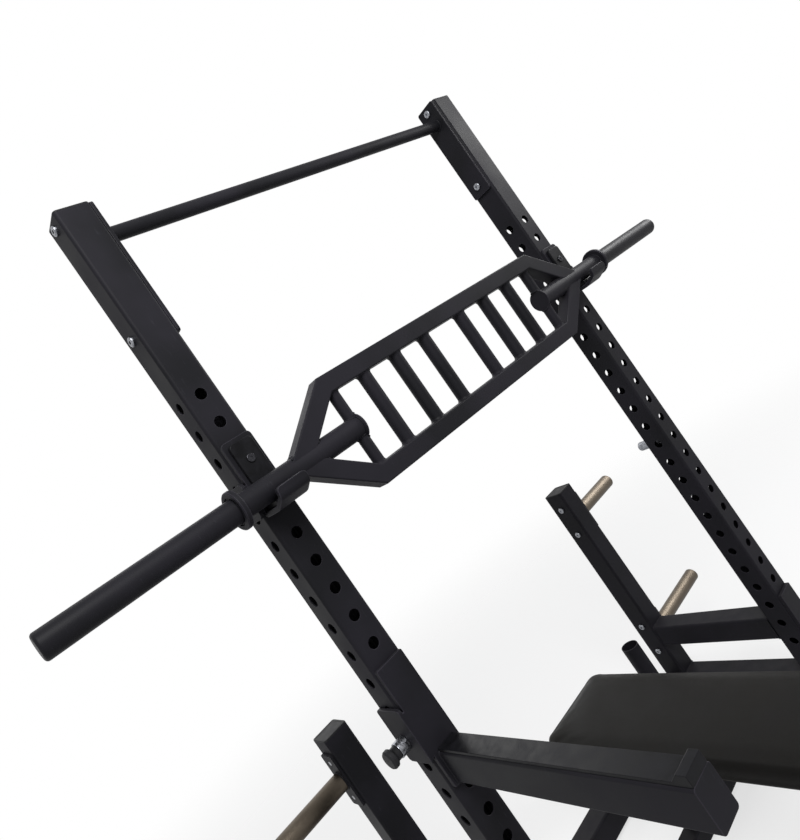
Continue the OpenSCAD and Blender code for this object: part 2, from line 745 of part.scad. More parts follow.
// Outline of the pad seen from above, drawn in by d all round: points of one ring at height z.
corner_n = 10;
ring_n = 4 * corner_n;
function ring(d, z) = [for (q = [0 : 3], i = [0 : corner_n - 1])
    let (a = 90 * (q + i / (corner_n - 1)), sx = sign(cos(90 * q + 45)), sy = sign(sin(90 * q + 45)),
        r = max(pad_r - d, 4), hx = pad_w / 2 - d - r, hy = pad_l / 2 - d - r)
    [sx * hx + r * cos(a), sy * hy + r * sin(a), z]];

// Heights and insets up the pad's side, then in over its crown.
side_h = pad_t - pad_crown;
side_rings = [for (k = [0 : 6]) let (u = k / 6)
    ring(pad_draw * pow(abs(2 * u - 0.9), 3) / 1.331, side_h * u)];
crown_rings = [for (k = [1 : 6]) let (u = k / 6, d = pad_draw + u * (pad_w / 2 - pad_draw - 6))
    ring(d, side_h + pad_crown * (1 - pow(1 - u, 2.4)))];
pad_rings = concat(side_rings, crown_rings);

module bench_pad() color(dark) rack()
    translate([0, bench_back - pad_l / 2, pad_base]) {
        m = len(pad_rings);
        pts = concat([for (q = pad_rings) each q], [[0, 0, 0], [0, 0, pad_t]]);
        sides = [for (k = [0 : m - 2], i = [0 : ring_n - 1])
            let (j = (i + 1) % ring_n, a = k * ring_n, b = a + ring_n)
            each [[a + i, b + i, b + j], [a + i, b + j, a + j]]];
        ends = [for (i = [0 : ring_n - 1]) let (j = (i + 1) % ring_n, t = (m - 1) * ring_n)
            each [[m * ring_n, i, j], [m * ring_n + 1, t + j, t + i]]];
        polyhedron(pts, concat(sides, ends), convexity = 4);
    }

module bench_board() color(dark) rack()
    translate([0, bench_back - pad_l / 2, pad_base - board_t]) linear_extrude(board_t)
        rounded(pad_w - 4 * pad_draw, pad_l - 4 * pad_draw, max(pad_r - 2 * pad_draw, 4));

module bench_brackets() color(black) rack()
    for (y = leg_y) translate([0, y, spine_top]) linear_extrude(bracket_t)
        rounded(pad_w - 6 * pad_draw, 1.2 * spine_w, 6);

module bench_spine() color(black) rack()
    translate([0, leg_y[1] - spine_w, spine_top - spine_h / 2]) {
        l = leg_y[0] - leg_y[1] + 2 * spine_w;
        tube_y(spine_w, spine_h, tube_wall, tube_r - 2, l);
        for (y = [0, l - tube_wall]) translate([0, y, 0])
            rotate([-90, 0, 0]) linear_extrude(tube_wall) rounded(spine_w, spine_h, tube_r - 2);
    }

module bench_legs() color(black) rack()
    for (y = leg_y) translate([0, y, bench_foot_top])
        tube_z(spine_w, spine_w, tube_wall, tube_r - 2, spine_top - spine_h - bench_foot_top);

module bench_foot_tubes() color(black) rack()
    for (y = leg_y) translate([-bench_foot_l / 2, y, foot_t + spine_w / 2]) {
        tube_x(spine_w, spine_w, tube_wall, tube_r - 2, bench_foot_l);
        for (x = [0, bench_foot_l - tube_wall]) translate([x, 0, 0])
            rotate([0, 90, 0]) linear_extrude(tube_wall) rounded(spine_w, spine_w, tube_r - 2);
    }

module bench_feet() color(dark) rack()
    for (y = leg_y, s = [-1, 1]) translate([s * (bench_foot_l / 2 - spine_w / 2), y, 0])
        cylinder(d = spine_w - 8, h = foot_t);

left_upright();
right_upright();
upright_caps();
left_base_tube();
right_base_tube();
base_caps();
rack_feet();
rear_cross_tube();
left_storage_post();
right_storage_post();
post_caps();
left_side_tube();
right_side_tube();
left_upper_peg();
right_upper_peg();
left_lower_peg();
right_lower_peg();
storage_bolts();
pull_up_bar();
pull_up_plates();
pull_up_bolts();
pull_up_nuts();
left_j_hook();
right_j_hook();
left_hook_liner();
right_hook_liner();
hook_pins();
hook_screws();
bar_holders();
band_pegs();
left_bar_pipe();
right_bar_pipe();
bar_collars();
sleeve_caps();
bar_discs();
upper_rail();
lower_rail();
left_slants();
right_slants();
end_struts();
bar_grips();
left_arm_bracket();
right_arm_bracket();
left_arm_tube();
right_arm_tube();
left_arm_strip();
right_arm_strip();
left_pin_housing();
right_pin_housing();
left_pull_pin();
right_pull_pin();
bench_pad();
bench_board();
bench_brackets();
bench_spine();
bench_legs();
bench_foot_tubes();
bench_feet();
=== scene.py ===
import math

import bmesh
import bpy
from mathutils import Matrix, Vector


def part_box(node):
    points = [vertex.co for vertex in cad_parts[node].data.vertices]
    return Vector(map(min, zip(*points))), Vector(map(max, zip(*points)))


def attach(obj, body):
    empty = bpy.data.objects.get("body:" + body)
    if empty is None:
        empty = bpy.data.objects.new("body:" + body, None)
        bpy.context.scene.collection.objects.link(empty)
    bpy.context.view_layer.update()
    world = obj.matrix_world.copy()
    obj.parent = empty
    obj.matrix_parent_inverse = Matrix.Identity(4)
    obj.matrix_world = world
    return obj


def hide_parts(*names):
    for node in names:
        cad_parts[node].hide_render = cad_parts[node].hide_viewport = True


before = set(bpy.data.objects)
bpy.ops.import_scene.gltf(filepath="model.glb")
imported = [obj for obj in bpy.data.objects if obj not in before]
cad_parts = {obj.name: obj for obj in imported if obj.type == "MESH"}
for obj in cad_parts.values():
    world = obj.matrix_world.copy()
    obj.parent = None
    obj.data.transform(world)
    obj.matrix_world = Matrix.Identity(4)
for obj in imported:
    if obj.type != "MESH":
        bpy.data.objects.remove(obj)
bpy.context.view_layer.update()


# Studio. The rack stands on pale paper in a white room under large soft boxes. The camera stands
# left of the rack at chest height, rolled to one side, so the uprights lean across the picture.

yaw, pitch, roll = math.radians(35.3562), math.radians(-0.1619), math.radians(-34.7361)
ahead = Vector((math.sin(yaw) * math.cos(pitch), math.cos(yaw) * math.cos(pitch), math.sin(pitch)))
level = Vector((math.cos(yaw), -math.sin(yaw), 0))
above = level.cross(ahead)
right = level * math.cos(roll) + above * math.sin(roll)
upward = above * math.cos(roll) - level * math.sin(roll)
camera = bpy.data.objects.new("camera", bpy.data.cameras.new("camera"))
bpy.context.scene.collection.objects.link(camera)
camera.matrix_world = Matrix((right, upward, -ahead)).transposed().to_4x4()
camera.location = (-1.11003, -1.03365, 1.45306)
# The lens is named in pixels of a picture 840 pixels high, on a sensor of 36 mm.
sensor, picture_h, focal_px, shift_x_px, shift_y_px = 36, 840, 652.987, 31.54, 2.019
camera.data.sensor_width = sensor
camera.data.lens = focal_px * sensor / picture_h
camera.data.shift_x, camera.data.shift_y = shift_x_px / picture_h, shift_y_px / picture_h
camera.data.clip_start, camera.data.clip_end = 0.02, 60
bpy.context.scene.camera = camera
bpy.context.scene.view_settings.view_transform = "Standard"


def linear(colour):
    """An sRGB hex colour as linear red, green, blue and alpha."""
    parts = [int(colour[i:i + 2], 16) / 255 for i in (1, 3, 5)]
    return [p / 12.92 if p <= 0.04045 else ((p + 0.055) / 1.055) ** 2.4 for p in parts] + [1]


def add(tree, kind, values=None, links=None, **settings):
    """One shader node with its settings, the values on its sockets and the sockets that feed it."""
    made = tree.nodes.new("ShaderNode" + kind)
    for name, value in settings.items():
        setattr(made, name, value)
    for name, value in (values or {}).items():
        made.inputs[name].default_value = value
    for name, source in (links or {}).items():
        tree.links.new(source, made.inputs[name])
    return made


def seen_rays(tree):
    """One for rays that show the backdrop, directly or in metal and glass, and nought for light."""
    path = add(tree, "LightPath")
    seen = add(tree, "Math", links={0: path.outputs["Is Camera Ray"], 1: path.outputs["Is Glossy Ray"]},
               operation="MAXIMUM")
    seen = add(tree, "Math", links={0: seen.outputs[0], 1: path.outputs["Is Transmission Ray"]},
               operation="MAXIMUM")
    return seen.outputs[0]


room = bpy.data.worlds.new("white_room")
room.use_nodes = True
tree = room.node_tree
tree.nodes.clear()
seen = seen_rays(tree)
daylight = add(tree, "Background", {"Color": linear("#eef0f4"), "Strength": 0.18})
white = add(tree, "Background", {"Color": linear("#ffffff"), "Strength": 1.0})
both = add(tree, "MixShader", links={0: seen, 1: daylight.outputs[0], 2: white.outputs[0]})
add(tree, "OutputWorld", links={"Surface": both.outputs[0]})
bpy.context.scene.world = room

paper_r, paper_drop, fade_from, fade_to, glow_share = 6, 0.0005, 1.6, 4.5, 0.68
bpy.ops.object.select_all(action="DESELECT")
bpy.ops.mesh.primitive_circle_add(vertices=96, radius=paper_r, fill_type="NGON",
                                  location=(0, 0, -paper_drop))
floor = bpy.context.object
floor.name = "paper_floor"


def new_finish(name):
    """A new material: itself, its emptied shader tree and the place on the piece."""
    finish = bpy.data.materials.new(name)
    finish.use_nodes = True
    finish.node_tree.nodes.clear()
    return finish, finish.node_tree, add(finish.node_tree, "TexCoord").outputs["Object"]


# Matt white paper: even and plain, with the rack's soft shadow on it, lost in white at its rim.
paper, tree, where = new_finish("matt_white_paper")
reach = add(tree, "VectorMath", links={0: where}, operation="LENGTH")
fade = add(tree, "MapRange", {1: fade_from, 2: fade_to}, {0: reach.outputs["Value"]},
           interpolation_type="SMOOTHSTEP")
sheet = add(tree, "BsdfDiffuse", {"Color": linear("#fbfbfb")})
glow = add(tree, "Emission", {"Color": linear("#ffffff")})
share = add(tree, "Math", {1: glow_share}, {0: seen_rays(tree)}, operation="MULTIPLY")
sheet = add(tree, "MixShader", links={0: share.outputs[0], 1: sheet.outputs[0], 2: glow.outputs[0]})
clear = add(tree, "BsdfTransparent")
both = add(tree, "MixShader", links={0: fade.outputs[0], 1: sheet.outputs[0], 2: clear.outputs[0]})
add(tree, "OutputMaterial", links={"Surface": both.outputs[0]})
floor.data.materials.append(paper)

for name, spot, aim, power, width in (("key_box", (-1.0, -1.6, 3.1), (-0.45, 0.1, 1.7), 80, 1.4),
                                      ("side_box", (3.0, -0.6, 2.6), (0.5, 0.3, 0.9), 60, 1.0),
                                      ("back_box", (0.6, 3.0, 3.0), (0, 0.3, 1.0), 22, 2.0)):
    lamp = bpy.data.objects.new(name, bpy.data.lights.new(name, "AREA"))
    bpy.context.scene.collection.objects.link(lamp)
    lamp.data.energy, lamp.data.size = power, width
    lamp.location = spot
    lamp.visible_camera = False
    lamp.rotation_euler = (Vector(aim) - Vector(spot)).to_track_quat("-Z", "Y").to_euler()


# Uprights. Two square steel tubes, 75 mm wide with a 3 mm wall, drilled right through at a 64 mm
# pitch in all four faces, deburred, blasted and powder coated black.

# Polyester powder coat, baked on: a fine orange-peel grain breaks up the gloss, broad clouds show
# where the film is thicker, and up-facing faces hold a little dust.
def powder_coat(name, dark, light, rough):
    finish, tree, where = new_finish(name)
    cloud = add(tree, "TexNoise", {"Scale": 1 / 0.16, "Detail": 3.0}, {"Vector": where})
    cloud = add(tree, "MapRange", {1: 0.36, 2: 0.64}, {0: cloud.outputs[0]})
    tone = add(tree, "Mix", {6: linear(dark), 7: linear(light)}, {0: cloud.outputs[0]}, data_type="RGBA")
    # Handling scuffs: thin streaks, drawn about 30 mm long so that they show.
    drawn = add(tree, "Mapping", {"Scale": (1.0, 1.0, 0.16)}, {"Vector": where})
    streak = add(tree, "TexNoise", {"Scale": 1 / 0.005, "Detail": 4.0, "Roughness": 0.65},
                 {"Vector": drawn.outputs[0]})
    streak = add(tree, "MapRange", {1: 0.63, 2: 0.74, 4: 0.35}, {0: streak.outputs[0]})
    tone = add(tree, "Mix", {7: linear("#34343a")}, {0: streak.outputs[0], 6: tone.outputs[2]},
               data_type="RGBA")
    facing = add(tree, "SeparateXYZ", links={0: add(tree, "NewGeometry").outputs["Normal"]})
    dust = add(tree, "TexNoise", {"Scale": 1 / 0.04, "Detail": 5.0}, {"Vector": where})
    dust = add(tree, "MapRange", {1: 0.35, 2: 0.8, 4: 0.2}, {0: dust.outputs[0]})
    lying = add(tree, "MapRange", {1: 0.75, 2: 1.0}, {0: facing.outputs["Z"]})
    dust = add(tree, "Math", links={0: dust.outputs[0], 1: lying.outputs[0]}, operation="MULTIPLY")
    tone = add(tree, "Mix", {7: linear("#454341")}, {0: dust.outputs[0], 6: tone.outputs[2]},
               data_type="RGBA")
    # The real grain is about 0.4 mm; it is drawn at 1.6 mm so that it shows in the render.
    grain = add(tree, "TexNoise", {"Scale": 1 / 0.0016, "Detail": 2.0, "Roughness": 0.6}, {"Vector": where})
    peel = add(tree, "Bump", {"Strength": 0.06, "Distance": 0.0002}, {"Height": grain.outputs[0]})
    sheen = add(tree, "MapRange", {3: rough - 0.06, 4: rough + 0.08}, {0: cloud.outputs[0]})
    skin = add(tree, "BsdfPrincipled", {"Specular IOR Level": 0.07},
               {"Base Color": tone.outputs[2], "Roughness": sheen.outputs[0], "Normal": peel.outputs[0]})
    add(tree, "OutputMaterial", links={"Surface": skin.outputs[0]})
    return finish


black_coat = powder_coat("polyester_powder_coat_black", "#18181b", "#201f24", 0.5)
# The same coat where hands and plates have rubbed it along edges: a little greyer and smoother; its lighter
# tone is also a painted highlight on the edges.
rubbed_and_highlit_coat = powder_coat("polyester_powder_coat_rubbed_edge_highlight", "#26252a", "#312f36", 0.42)


def select_only(piece):
    bpy.ops.object.select_all(action="DESELECT")
    piece.select_set(True)
    bpy.context.view_layer.objects.active = piece


def smooth(piece, angle):
    """Shades a piece smooth up to an angle, its large faces kept true beside their rounded edges."""
    bpy.ops.object.shade_smooth_by_angle(angle=math.radians(angle))
    steady = piece.modifiers.new("steady", "WEIGHTED_NORMAL")
    steady.keep_sharp = True
    bpy.ops.object.modifier_apply(modifier="steady")


merge_gap = 0.00001


def softened(node, name, body, finish, edge, width, segments=2, angle=32):
    """A CAD node's own shape, merged, with its sharp edges broken as on the real piece."""
    piece = bpy.data.objects.new(name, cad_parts[node].data.copy())
    bpy.context.scene.collection.objects.link(piece)
    piece.data.name = name
    select_only(piece)
    piece.data.materials.clear()
    piece.data.materials.append(finish)
    piece.data.materials.append(edge)
    bpy.ops.mesh.customdata_custom_splitnormals_clear()
    bpy.ops.object.mode_set(mode="EDIT")
    bpy.ops.mesh.select_all(action="SELECT")
    bpy.ops.mesh.remove_doubles(threshold=merge_gap)
    bpy.ops.mesh.dissolve_limited(angle_limit=math.radians(0.8))
    bpy.ops.object.mode_set(mode="OBJECT")
    # The bevel faces take the edge finish; on the coat that is the rubbed one, lighter as a painted edge
    # highlight.
    rim = piece.modifiers.new("rim", "BEVEL")
    rim.width, rim.segments, rim.use_clamp_overlap, rim.material = width, segments, False, 1
    rim.limit_method, rim.angle_limit = "ANGLE", math.radians(angle)
    bpy.ops.object.modifier_apply(modifier="rim")
    smooth(piece, angle)
    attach(piece, body)
    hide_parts(node)
    return piece


def mid_of(node):
    """The middle of a CAD node's box."""
    low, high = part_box(node)
    return (low + high) / 2


upright_low, upright_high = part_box("right_upright")
rack_x, upright_y = mid_of("right_upright").x, mid_of("right_upright").y
tube_w, deburr = upright_high.x - upright_low.x, 0.0007
for side in ("left", "right"):
    softened(side + "_upright", side + "_drilled_upright", "rack", black_coat,
             rubbed_and_highlit_coat, width=deburr)


# Base and posts. Two floor tubes, a rear cross tube, two short storage posts and two side tubes of
# the same section, butted together, MIG welded all round and coated as one frame.

for name in ("left_base_tube", "right_base_tube", "rear_cross_tube", "left_side_tube", "right_side_tube",
             "left_storage_post", "right_storage_post"):
    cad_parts[name].material_slots[0].material = black_coat


weld_ripple = 0.0024


def ring(centre, u, v, radius):
    """Points round a circle, close enough together for the ripples of a weld."""
    count = 2 * round(math.pi * radius / weld_ripple)
    turns = [math.tau * i / count for i in range(count)]
    return [Vector(centre) + Vector(u) * radius * math.cos(a) + Vector(v) * radius * math.sin(a)
            for a in turns]


def tube_loop(centre, u, v, w, h, corner, steps=6):
    """Points round a square tube's outline, each corner an arc of six steps."""
    points = []
    for k, (su, sv) in enumerate(((1, 1), (-1, 1), (-1, -1), (1, -1))):
        for i in range(steps + 1):
            a = math.pi / 2 * (k + i / steps)
            points.append(Vector(centre) + Vector(u) * (su * (w / 2 - corner) + corner * math.cos(a))
                          + Vector(v) * (sv * (h / 2 - corner) + corner * math.sin(a)))
    return points


def weld(name, body, loops, radius, closed=True):
    """One bead along each loop: a row of frozen ripples, coated with the tubes that it joins."""
    beads = bpy.data.curves.new(name, "CURVE")
    beads.dimensions, beads.use_fill_caps = "3D", not closed
    beads.bevel_depth, beads.bevel_resolution = radius, 1
    for loop in loops:
        steps = []
        for a, b in zip(loop, loop[1:] + (loop[:1] if closed else [])):
            n = max(1, round((b - a).length / weld_ripple))
            steps += [a.lerp(b, i / n) for i in range(n)]
        bead = beads.splines.new("POLY")
        bead.points.add(len(steps) - 1)
        bead.use_cyclic_u = closed
        for i, (point, at) in enumerate(zip(bead.points, steps)):
            point.co = (*at, 1)
            point.radius = 1.0 if i % 2 else 0.8
    piece = bpy.data.objects.new(name, beads)
    bpy.context.scene.collection.objects.link(piece)
    select_only(piece)
    bpy.ops.object.convert(target="MESH")
    piece.data.materials.clear()
    piece.data.materials.append(black_coat)
    bpy.ops.object.shade_smooth_by_angle(angle=math.radians(60))
    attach(piece, body)
    return piece


east, north, up = Vector((1, 0, 0)), Vector((0, 1, 0)), Vector((0, 0, 1))
base_low, base_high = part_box("right_base_tube")
side_low, side_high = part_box("right_side_tube")
post_low, post_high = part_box("right_storage_post")
base_z, side_z = mid_of("right_base_tube").z, mid_of("right_side_tube").z
post_y, tube_r, frame_bead = mid_of("right_storage_post").y, 0.008, 0.0024
joints = []
for s in (-1, 1):
    for centre, u, v in (((s * rack_x, upright_y, base_high.z), east, north),
                         ((s * rack_x, post_y, base_high.z), east, north),
                         ((s * rack_x, side_low.y, side_z), east, up),
                         ((s * rack_x, side_high.y, side_z), east, up),
                         ((s * post_low.x, post_y, base_z), north, up)):
        joints.append(tube_loop(centre, u, v, tube_w, tube_w, tube_r))
weld("frame_welds", "rack", joints, frame_bead)


# Tube caps. Moulded polyethylene plugs pressed into the open ends of the uprights, the posts and the
# floor tubes; a 4 mm flange with a rounded rim shows, its face sunk a little inside the rim.

# Moulded polyethylene: a soft low gloss with a fine spark-eroded grain and faint flow marks. The real
# pits are about 0.2 mm; the grit is drawn coarser so that it shows.
def moulded_plastic(name, dark, light, rough, grit):
    finish, tree, where = new_finish(name)
    flow = add(tree, "TexNoise", {"Scale": 1 / 0.03, "Detail": 4.0, "Distortion": 0.8}, {"Vector": where})
    flow = add(tree, "MapRange", {1: 0.35, 2: 0.65}, {0: flow.outputs[0]})
    tone = add(tree, "Mix", {6: linear(dark), 7: linear(light)}, {0: flow.outputs[0]}, data_type="RGBA")
    spark = add(tree, "TexVoronoi", {"Scale": 1 / grit}, {"Vector": where}, feature="SMOOTH_F1")
    pits = add(tree, "Bump", {"Strength": 0.35, "Distance": 0.00012}, {"Height": spark.outputs["Distance"]})
    gloss = add(tree, "MapRange", {3: rough - 0.05, 4: rough + 0.09}, {0: flow.outputs[0]})
    skin = add(tree, "BsdfPrincipled", {"IOR": 1.5, "Specular IOR Level": 0.09},
               {"Base Color": tone.outputs[2], "Roughness": gloss.outputs[0], "Normal": pits.outputs[0]})
    add(tree, "OutputMaterial", links={"Surface": skin.outputs[0]})
    return finish


black_plastic = moulded_plastic("moulded_polyethylene_black", "#1b1b1c", "#28282a", 0.46, 0.0012)


def pick(kind, test):
    """In edit mode, selects the corners, edges or faces that pass a test."""
    bpy.ops.mesh.select_mode(type=kind)
    bpy.ops.mesh.select_all(action="DESELECT")
    shape = bmesh.from_edit_mesh(bpy.context.object.data)
    for item in {"VERT": shape.verts, "EDGE": shape.edges, "FACE": shape.faces}[kind]:
        if test(item):
            item.select_set(True)
    shape.select_flush_mode()
    bmesh.update_edit_mesh(bpy.context.object.data)


def middle(edge):
    return (edge.verts[0].co + edge.verts[1].co) / 2


def along(edge):
    return (edge.verts[1].co - edge.verts[0].co).normalized()


def settle(piece, name, body, finish, stands_for=(), angle=32):
    """Puts a finished piece's place into its mesh, gives it its finish and fixes it to its body."""
    select_only(piece)
    bpy.ops.object.transform_apply(location=True, rotation=True, scale=True)
    piece.name = piece.data.name = name
    if not piece.data.materials:
        piece.data.materials.append(finish)
    smooth(piece, angle)
    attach(piece, body)
    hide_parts(*stands_for)
    return piece


def placed(model, places):
    """Copies of one modelled piece, each with its own mesh, at the given places, joined as one set."""
    copies = []
    for place in places:
        copy = bpy.data.objects.new("copy", model.data.copy())
        bpy.context.scene.collection.objects.link(copy)
        copy.matrix_world = place
        copies.append(copy)
    bpy.data.objects.remove(model)
    select_only(copies[0])
    for copy in copies:
        copy.select_set(True)
    bpy.ops.object.transform_apply(location=True, rotation=True, scale=True)
    if len(copies) > 1:
        bpy.ops.object.join()
    return copies[0]


def moved(x, y, z, turn=(0, 0, 0)):
    """A place: turned by degrees about X, Y and Z, then moved, in metres."""
    spin = Matrix.Identity(4)
    for angle, axis in zip(turn, "XYZ"):
        spin = Matrix.Rotation(math.radians(angle), 4, axis) @ spin
    return Matrix.Translation((x, y, z)) @ spin


flange_t, flange_rim, face_inset, face_sunk = 0.004, 0.0018, 0.005, 0.0005


def tube_cap():
    """A cap's flange, as wide as its tube, on z = 0."""
    bpy.ops.object.select_all(action="DESELECT")
    bpy.ops.mesh.primitive_cube_add(size=1, location=(0, 0, flange_t / 2))
    bpy.context.object.scale = (tube_w, tube_w, flange_t)
    bpy.ops.object.transform_apply(location=True, rotation=True, scale=True)
    bpy.ops.object.mode_set(mode="EDIT")
    pick("EDGE", lambda e: abs(along(e).z) > 0.9)
    bpy.ops.mesh.bevel(offset=tube_r, segments=6, affect="EDGES")
    pick("FACE", lambda f: f.normal.z > 0.9)
    bpy.ops.mesh.bevel(offset=flange_rim, segments=3, affect="EDGES")
    pick("FACE", lambda f: f.normal.z > 0.9 and f.calc_area() > tube_w ** 2 / 2)
    bpy.ops.mesh.inset(thickness=face_inset)
    bpy.ops.mesh.extrude_region_move(TRANSFORM_OT_translate={"value": (0, 0, -face_sunk)})
    bpy.ops.object.mode_set(mode="OBJECT")
    return bpy.context.object


settle(placed(tube_cap(), [moved(s * rack_x, upright_y, upright_high.z) for s in (-1, 1)]),
       "upright_end_caps", "rack", black_plastic, ["upright_caps"])
settle(placed(tube_cap(), [moved(s * rack_x, post_y, post_high.z) for s in (-1, 1)]),
       "post_end_caps", "rack", black_plastic, ["post_caps"])
settle(placed(tube_cap(), [moved(s * rack_x, y, base_z, (t, 0, 0)) for s in (-1, 1)
                           for y, t in ((base_low.y, 90), (base_high.y, -90))]),
       "base_end_caps", "rack", black_plastic, ["base_caps"])


# Rack feet. Six moulded rubber pucks, 64 mm across, screwed under the floor tubes; each has
# rounded rims and a shallow groove round its side.

# Black natural rubber: matt, slightly grey with bloom, with a pebbled moulding skin.
rubber = moulded_plastic("moulded_rubber_black", "#131313", "#1d1c1b", 0.72, 0.0022)


hair = 0.0001


def rubber_foot(radius, height, sides=48):
    """A puck on z = 0 with a rounded tread edge and a groove under its shoulder."""
    tread, groove, neck, rounding = 0.45 * height, 0.12 * height, 0.95, 0.16 * height
    bpy.ops.object.select_all(action="DESELECT")
    bpy.ops.mesh.primitive_cylinder_add(vertices=sides, radius=radius, depth=tread,
                                        location=(0, 0, tread / 2))
    bpy.ops.object.transform_apply(location=True, rotation=True, scale=True)
    bpy.ops.object.mode_set(mode="EDIT")
    for lift, size in ((0, neck), (groove, 1), (0, 1 / neck), (height - tread - groove, 1)):
        pick("FACE", lambda f: f.normal.z > 0.9)
        bpy.ops.mesh.extrude_region_move(TRANSFORM_OT_translate={"value": (0, 0, lift)})
        bpy.ops.transform.resize(value=(size, size, 1), center_override=(0, 0, 0))
    pick("EDGE", lambda e: abs(e.calc_length() / radius - 2 * math.sin(math.pi / sides)) < 0.01
         and abs(along(e).z) < 0.1 and (middle(e).z < hair or middle(e).z > height - hair))
    bpy.ops.mesh.bevel(offset=rounding, segments=3, affect="EDGES")
    bpy.ops.mesh.select_all(action="SELECT")
    bpy.ops.mesh.remove_doubles(threshold=merge_gap)
    bpy.ops.mesh.normals_make_consistent(inside=False)
    bpy.ops.object.mode_set(mode="OBJECT")
    return bpy.context.object


foot_r, foot_rows = 0.032, (base_low.y + tube_w / 2, upright_y, post_y)
settle(placed(rubber_foot(foot_r, base_low.z), [moved(s * rack_x, y, 0) for s in (-1, 1) for y in foot_rows]),
       "rack_rubber_feet", "rack", rubber, ["rack_feet"])


# Pull-up bar. A 32 mm steel tube welded between two 8 mm end plates, which are bolted through the
# tops of the uprights; the whole bar is powder coated like them.

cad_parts["pull_up_bar"].material_slots[0].material = black_coat
softened("pull_up_plates", "pull_up_end_plates", "rack", black_coat, rubbed_and_highlit_coat, width=0.0011)
# A ring bead lies a little off its plate and a little outside its tube.
bead, off_plate, off_tube = 0.0026, 0.0007, 0.0005
pull_up, pull_up_r, plate_in = mid_of("pull_up_bar"), 0.016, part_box("pull_up_bar")[1].x
weld("pull_up_welds", "rack", [ring((s * (plate_in - off_plate), pull_up.y, pull_up.z), north, up,
                                    pull_up_r + off_tube) for s in (-1, 1)], bead)


# Bolts. Button-head socket screws, zinc plated, with a low dome, a hex socket and a shank through the
# tube; four with nuts hold the pull-up bar and eight hold the storage pegs.

# Zinc plate: bluish grey, with a mottled passivated film over a fine grain, drawn at 0.7 mm so that it
# shows.
def plated_steel(name, dark, light):
    finish, tree, where = new_finish(name)
    film = add(tree, "TexNoise", {"Scale": 1 / 0.004, "Detail": 4.0}, {"Vector": where})
    film = add(tree, "MapRange", {1: 0.35, 2: 0.65}, {0: film.outputs[0]})
    tone = add(tree, "Mix", {6: linear(dark), 7: linear(light)}, {0: film.outputs[0]}, data_type="RGBA")
    grain = add(tree, "TexNoise", {"Scale": 1 / 0.0007, "Detail": 2.0}, {"Vector": where})
    marks = add(tree, "Bump", {"Strength": 0.2, "Distance": 0.00008}, {"Height": grain.outputs[0]})
    gloss = add(tree, "MapRange", {3: 0.2, 4: 0.36}, {0: film.outputs[0]})
    skin = add(tree, "BsdfPrincipled", {"Metallic": 1.0},
               {"Base Color": tone.outputs[2], "Roughness": gloss.outputs[0], "Normal": marks.outputs[0]})
    add(tree, "OutputMaterial", links={"Surface": skin.outputs[0]})
    return finish


zinc = plated_steel("bright_zinc_plate", "#6e7075", "#96989d")


def button_screw(head, rise, socket, shank, length):
    """A button-head screw: its head on z = 0 pointing up, its shank hanging below."""
    dome, socket_mid = 0.72 * rise, 0.95 * rise
    bpy.ops.object.select_all(action="DESELECT")
    bpy.ops.mesh.primitive_cylinder_add(vertices=48, radius=head / 2, depth=rise, location=(0, 0, rise / 2))
    bpy.ops.object.transform_apply(location=True, rotation=True, scale=True)
    bpy.ops.object.mode_set(mode="EDIT")
    pick("FACE", lambda f: f.normal.z > 0.9)
    bpy.ops.mesh.bevel(offset=dome, offset_type="WIDTH", segments=5, affect="EDGES")
    pick("FACE", lambda f: f.normal.z < -0.9)
    bpy.ops.mesh.inset(thickness=(head - shank) / 2)
    bpy.ops.mesh.extrude_region_move(TRANSFORM_OT_translate={"value": (0, 0, -length)})
    bpy.ops.object.mode_set(mode="OBJECT")
    screw = bpy.context.object
    bpy.ops.mesh.primitive_cylinder_add(vertices=6, radius=socket / 2 / math.cos(math.pi / 6), depth=rise,
                                        location=(0, 0, socket_mid))
    key = bpy.context.object
    bpy.ops.object.transform_apply(location=True, rotation=True, scale=True)
    select_only(screw)
    cut = screw.modifiers.new("socket", "BOOLEAN")
    cut.object, cut.operation, cut.solver = key, "DIFFERENCE", "EXACT"
    bpy.ops.object.modifier_apply(modifier="socket")
    bpy.data.objects.remove(key)
    return screw


head, rise, socket, shank = 0.021, 0.006, 0.007, 0.012
pull_up_shank, nut_shank, peg_shank, peg_bolt_gap = 0.08, 0.001, 0.083, 0.104
bolts_low, bolts_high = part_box("pull_up_bolts")
pull_up_rows = (bolts_high.z - head / 2, bolts_low.z + head / 2)
peg_rows = (mid_of("right_upper_peg").z, mid_of("right_lower_peg").z)
settle(placed(button_screw(head, rise, socket, shank, pull_up_shank),
              [moved(s * upright_high.x, upright_y, z, (0, s * 90, 0))
               for s in (-1, 1) for z in pull_up_rows]),
       "pull_up_screws", "rack", zinc, ["pull_up_bolts"], angle=30)
settle(placed(button_screw(head, rise, socket, shank, nut_shank),
              [moved(s * plate_in, upright_y, z, (0, -s * 90, 0)) for s in (-1, 1) for z in pull_up_rows]),
       "pull_up_cap_nuts", "rack", zinc, ["pull_up_nuts"], angle=30)
settle(placed(button_screw(head, rise, socket, shank, peg_shank),
              [moved(s * post_low.x, post_y, row + d * peg_bolt_gap / 2, (0, -s * 90, 0)) for s in (-1, 1)
               for row in peg_rows for d in (1, -1)]),
       "storage_screws", "rack", zinc, ["storage_bolts"], angle=30)


# Storage pegs. Four 48 mm stainless sleeves with closed, rounded ends, welded to black plates that
# are bolted to the outer faces of the posts; plates of 50 mm bore slide onto them.

# Satin stainless: brushed lengthways on a belt, so fine lines run along it and spread the highlight
# round it.
satin_steel, tree, where = new_finish("satin_stainless_steel")
brushed = add(tree, "Mapping", {"Scale": (0.06, 1.0, 1.0)}, {"Vector": where})
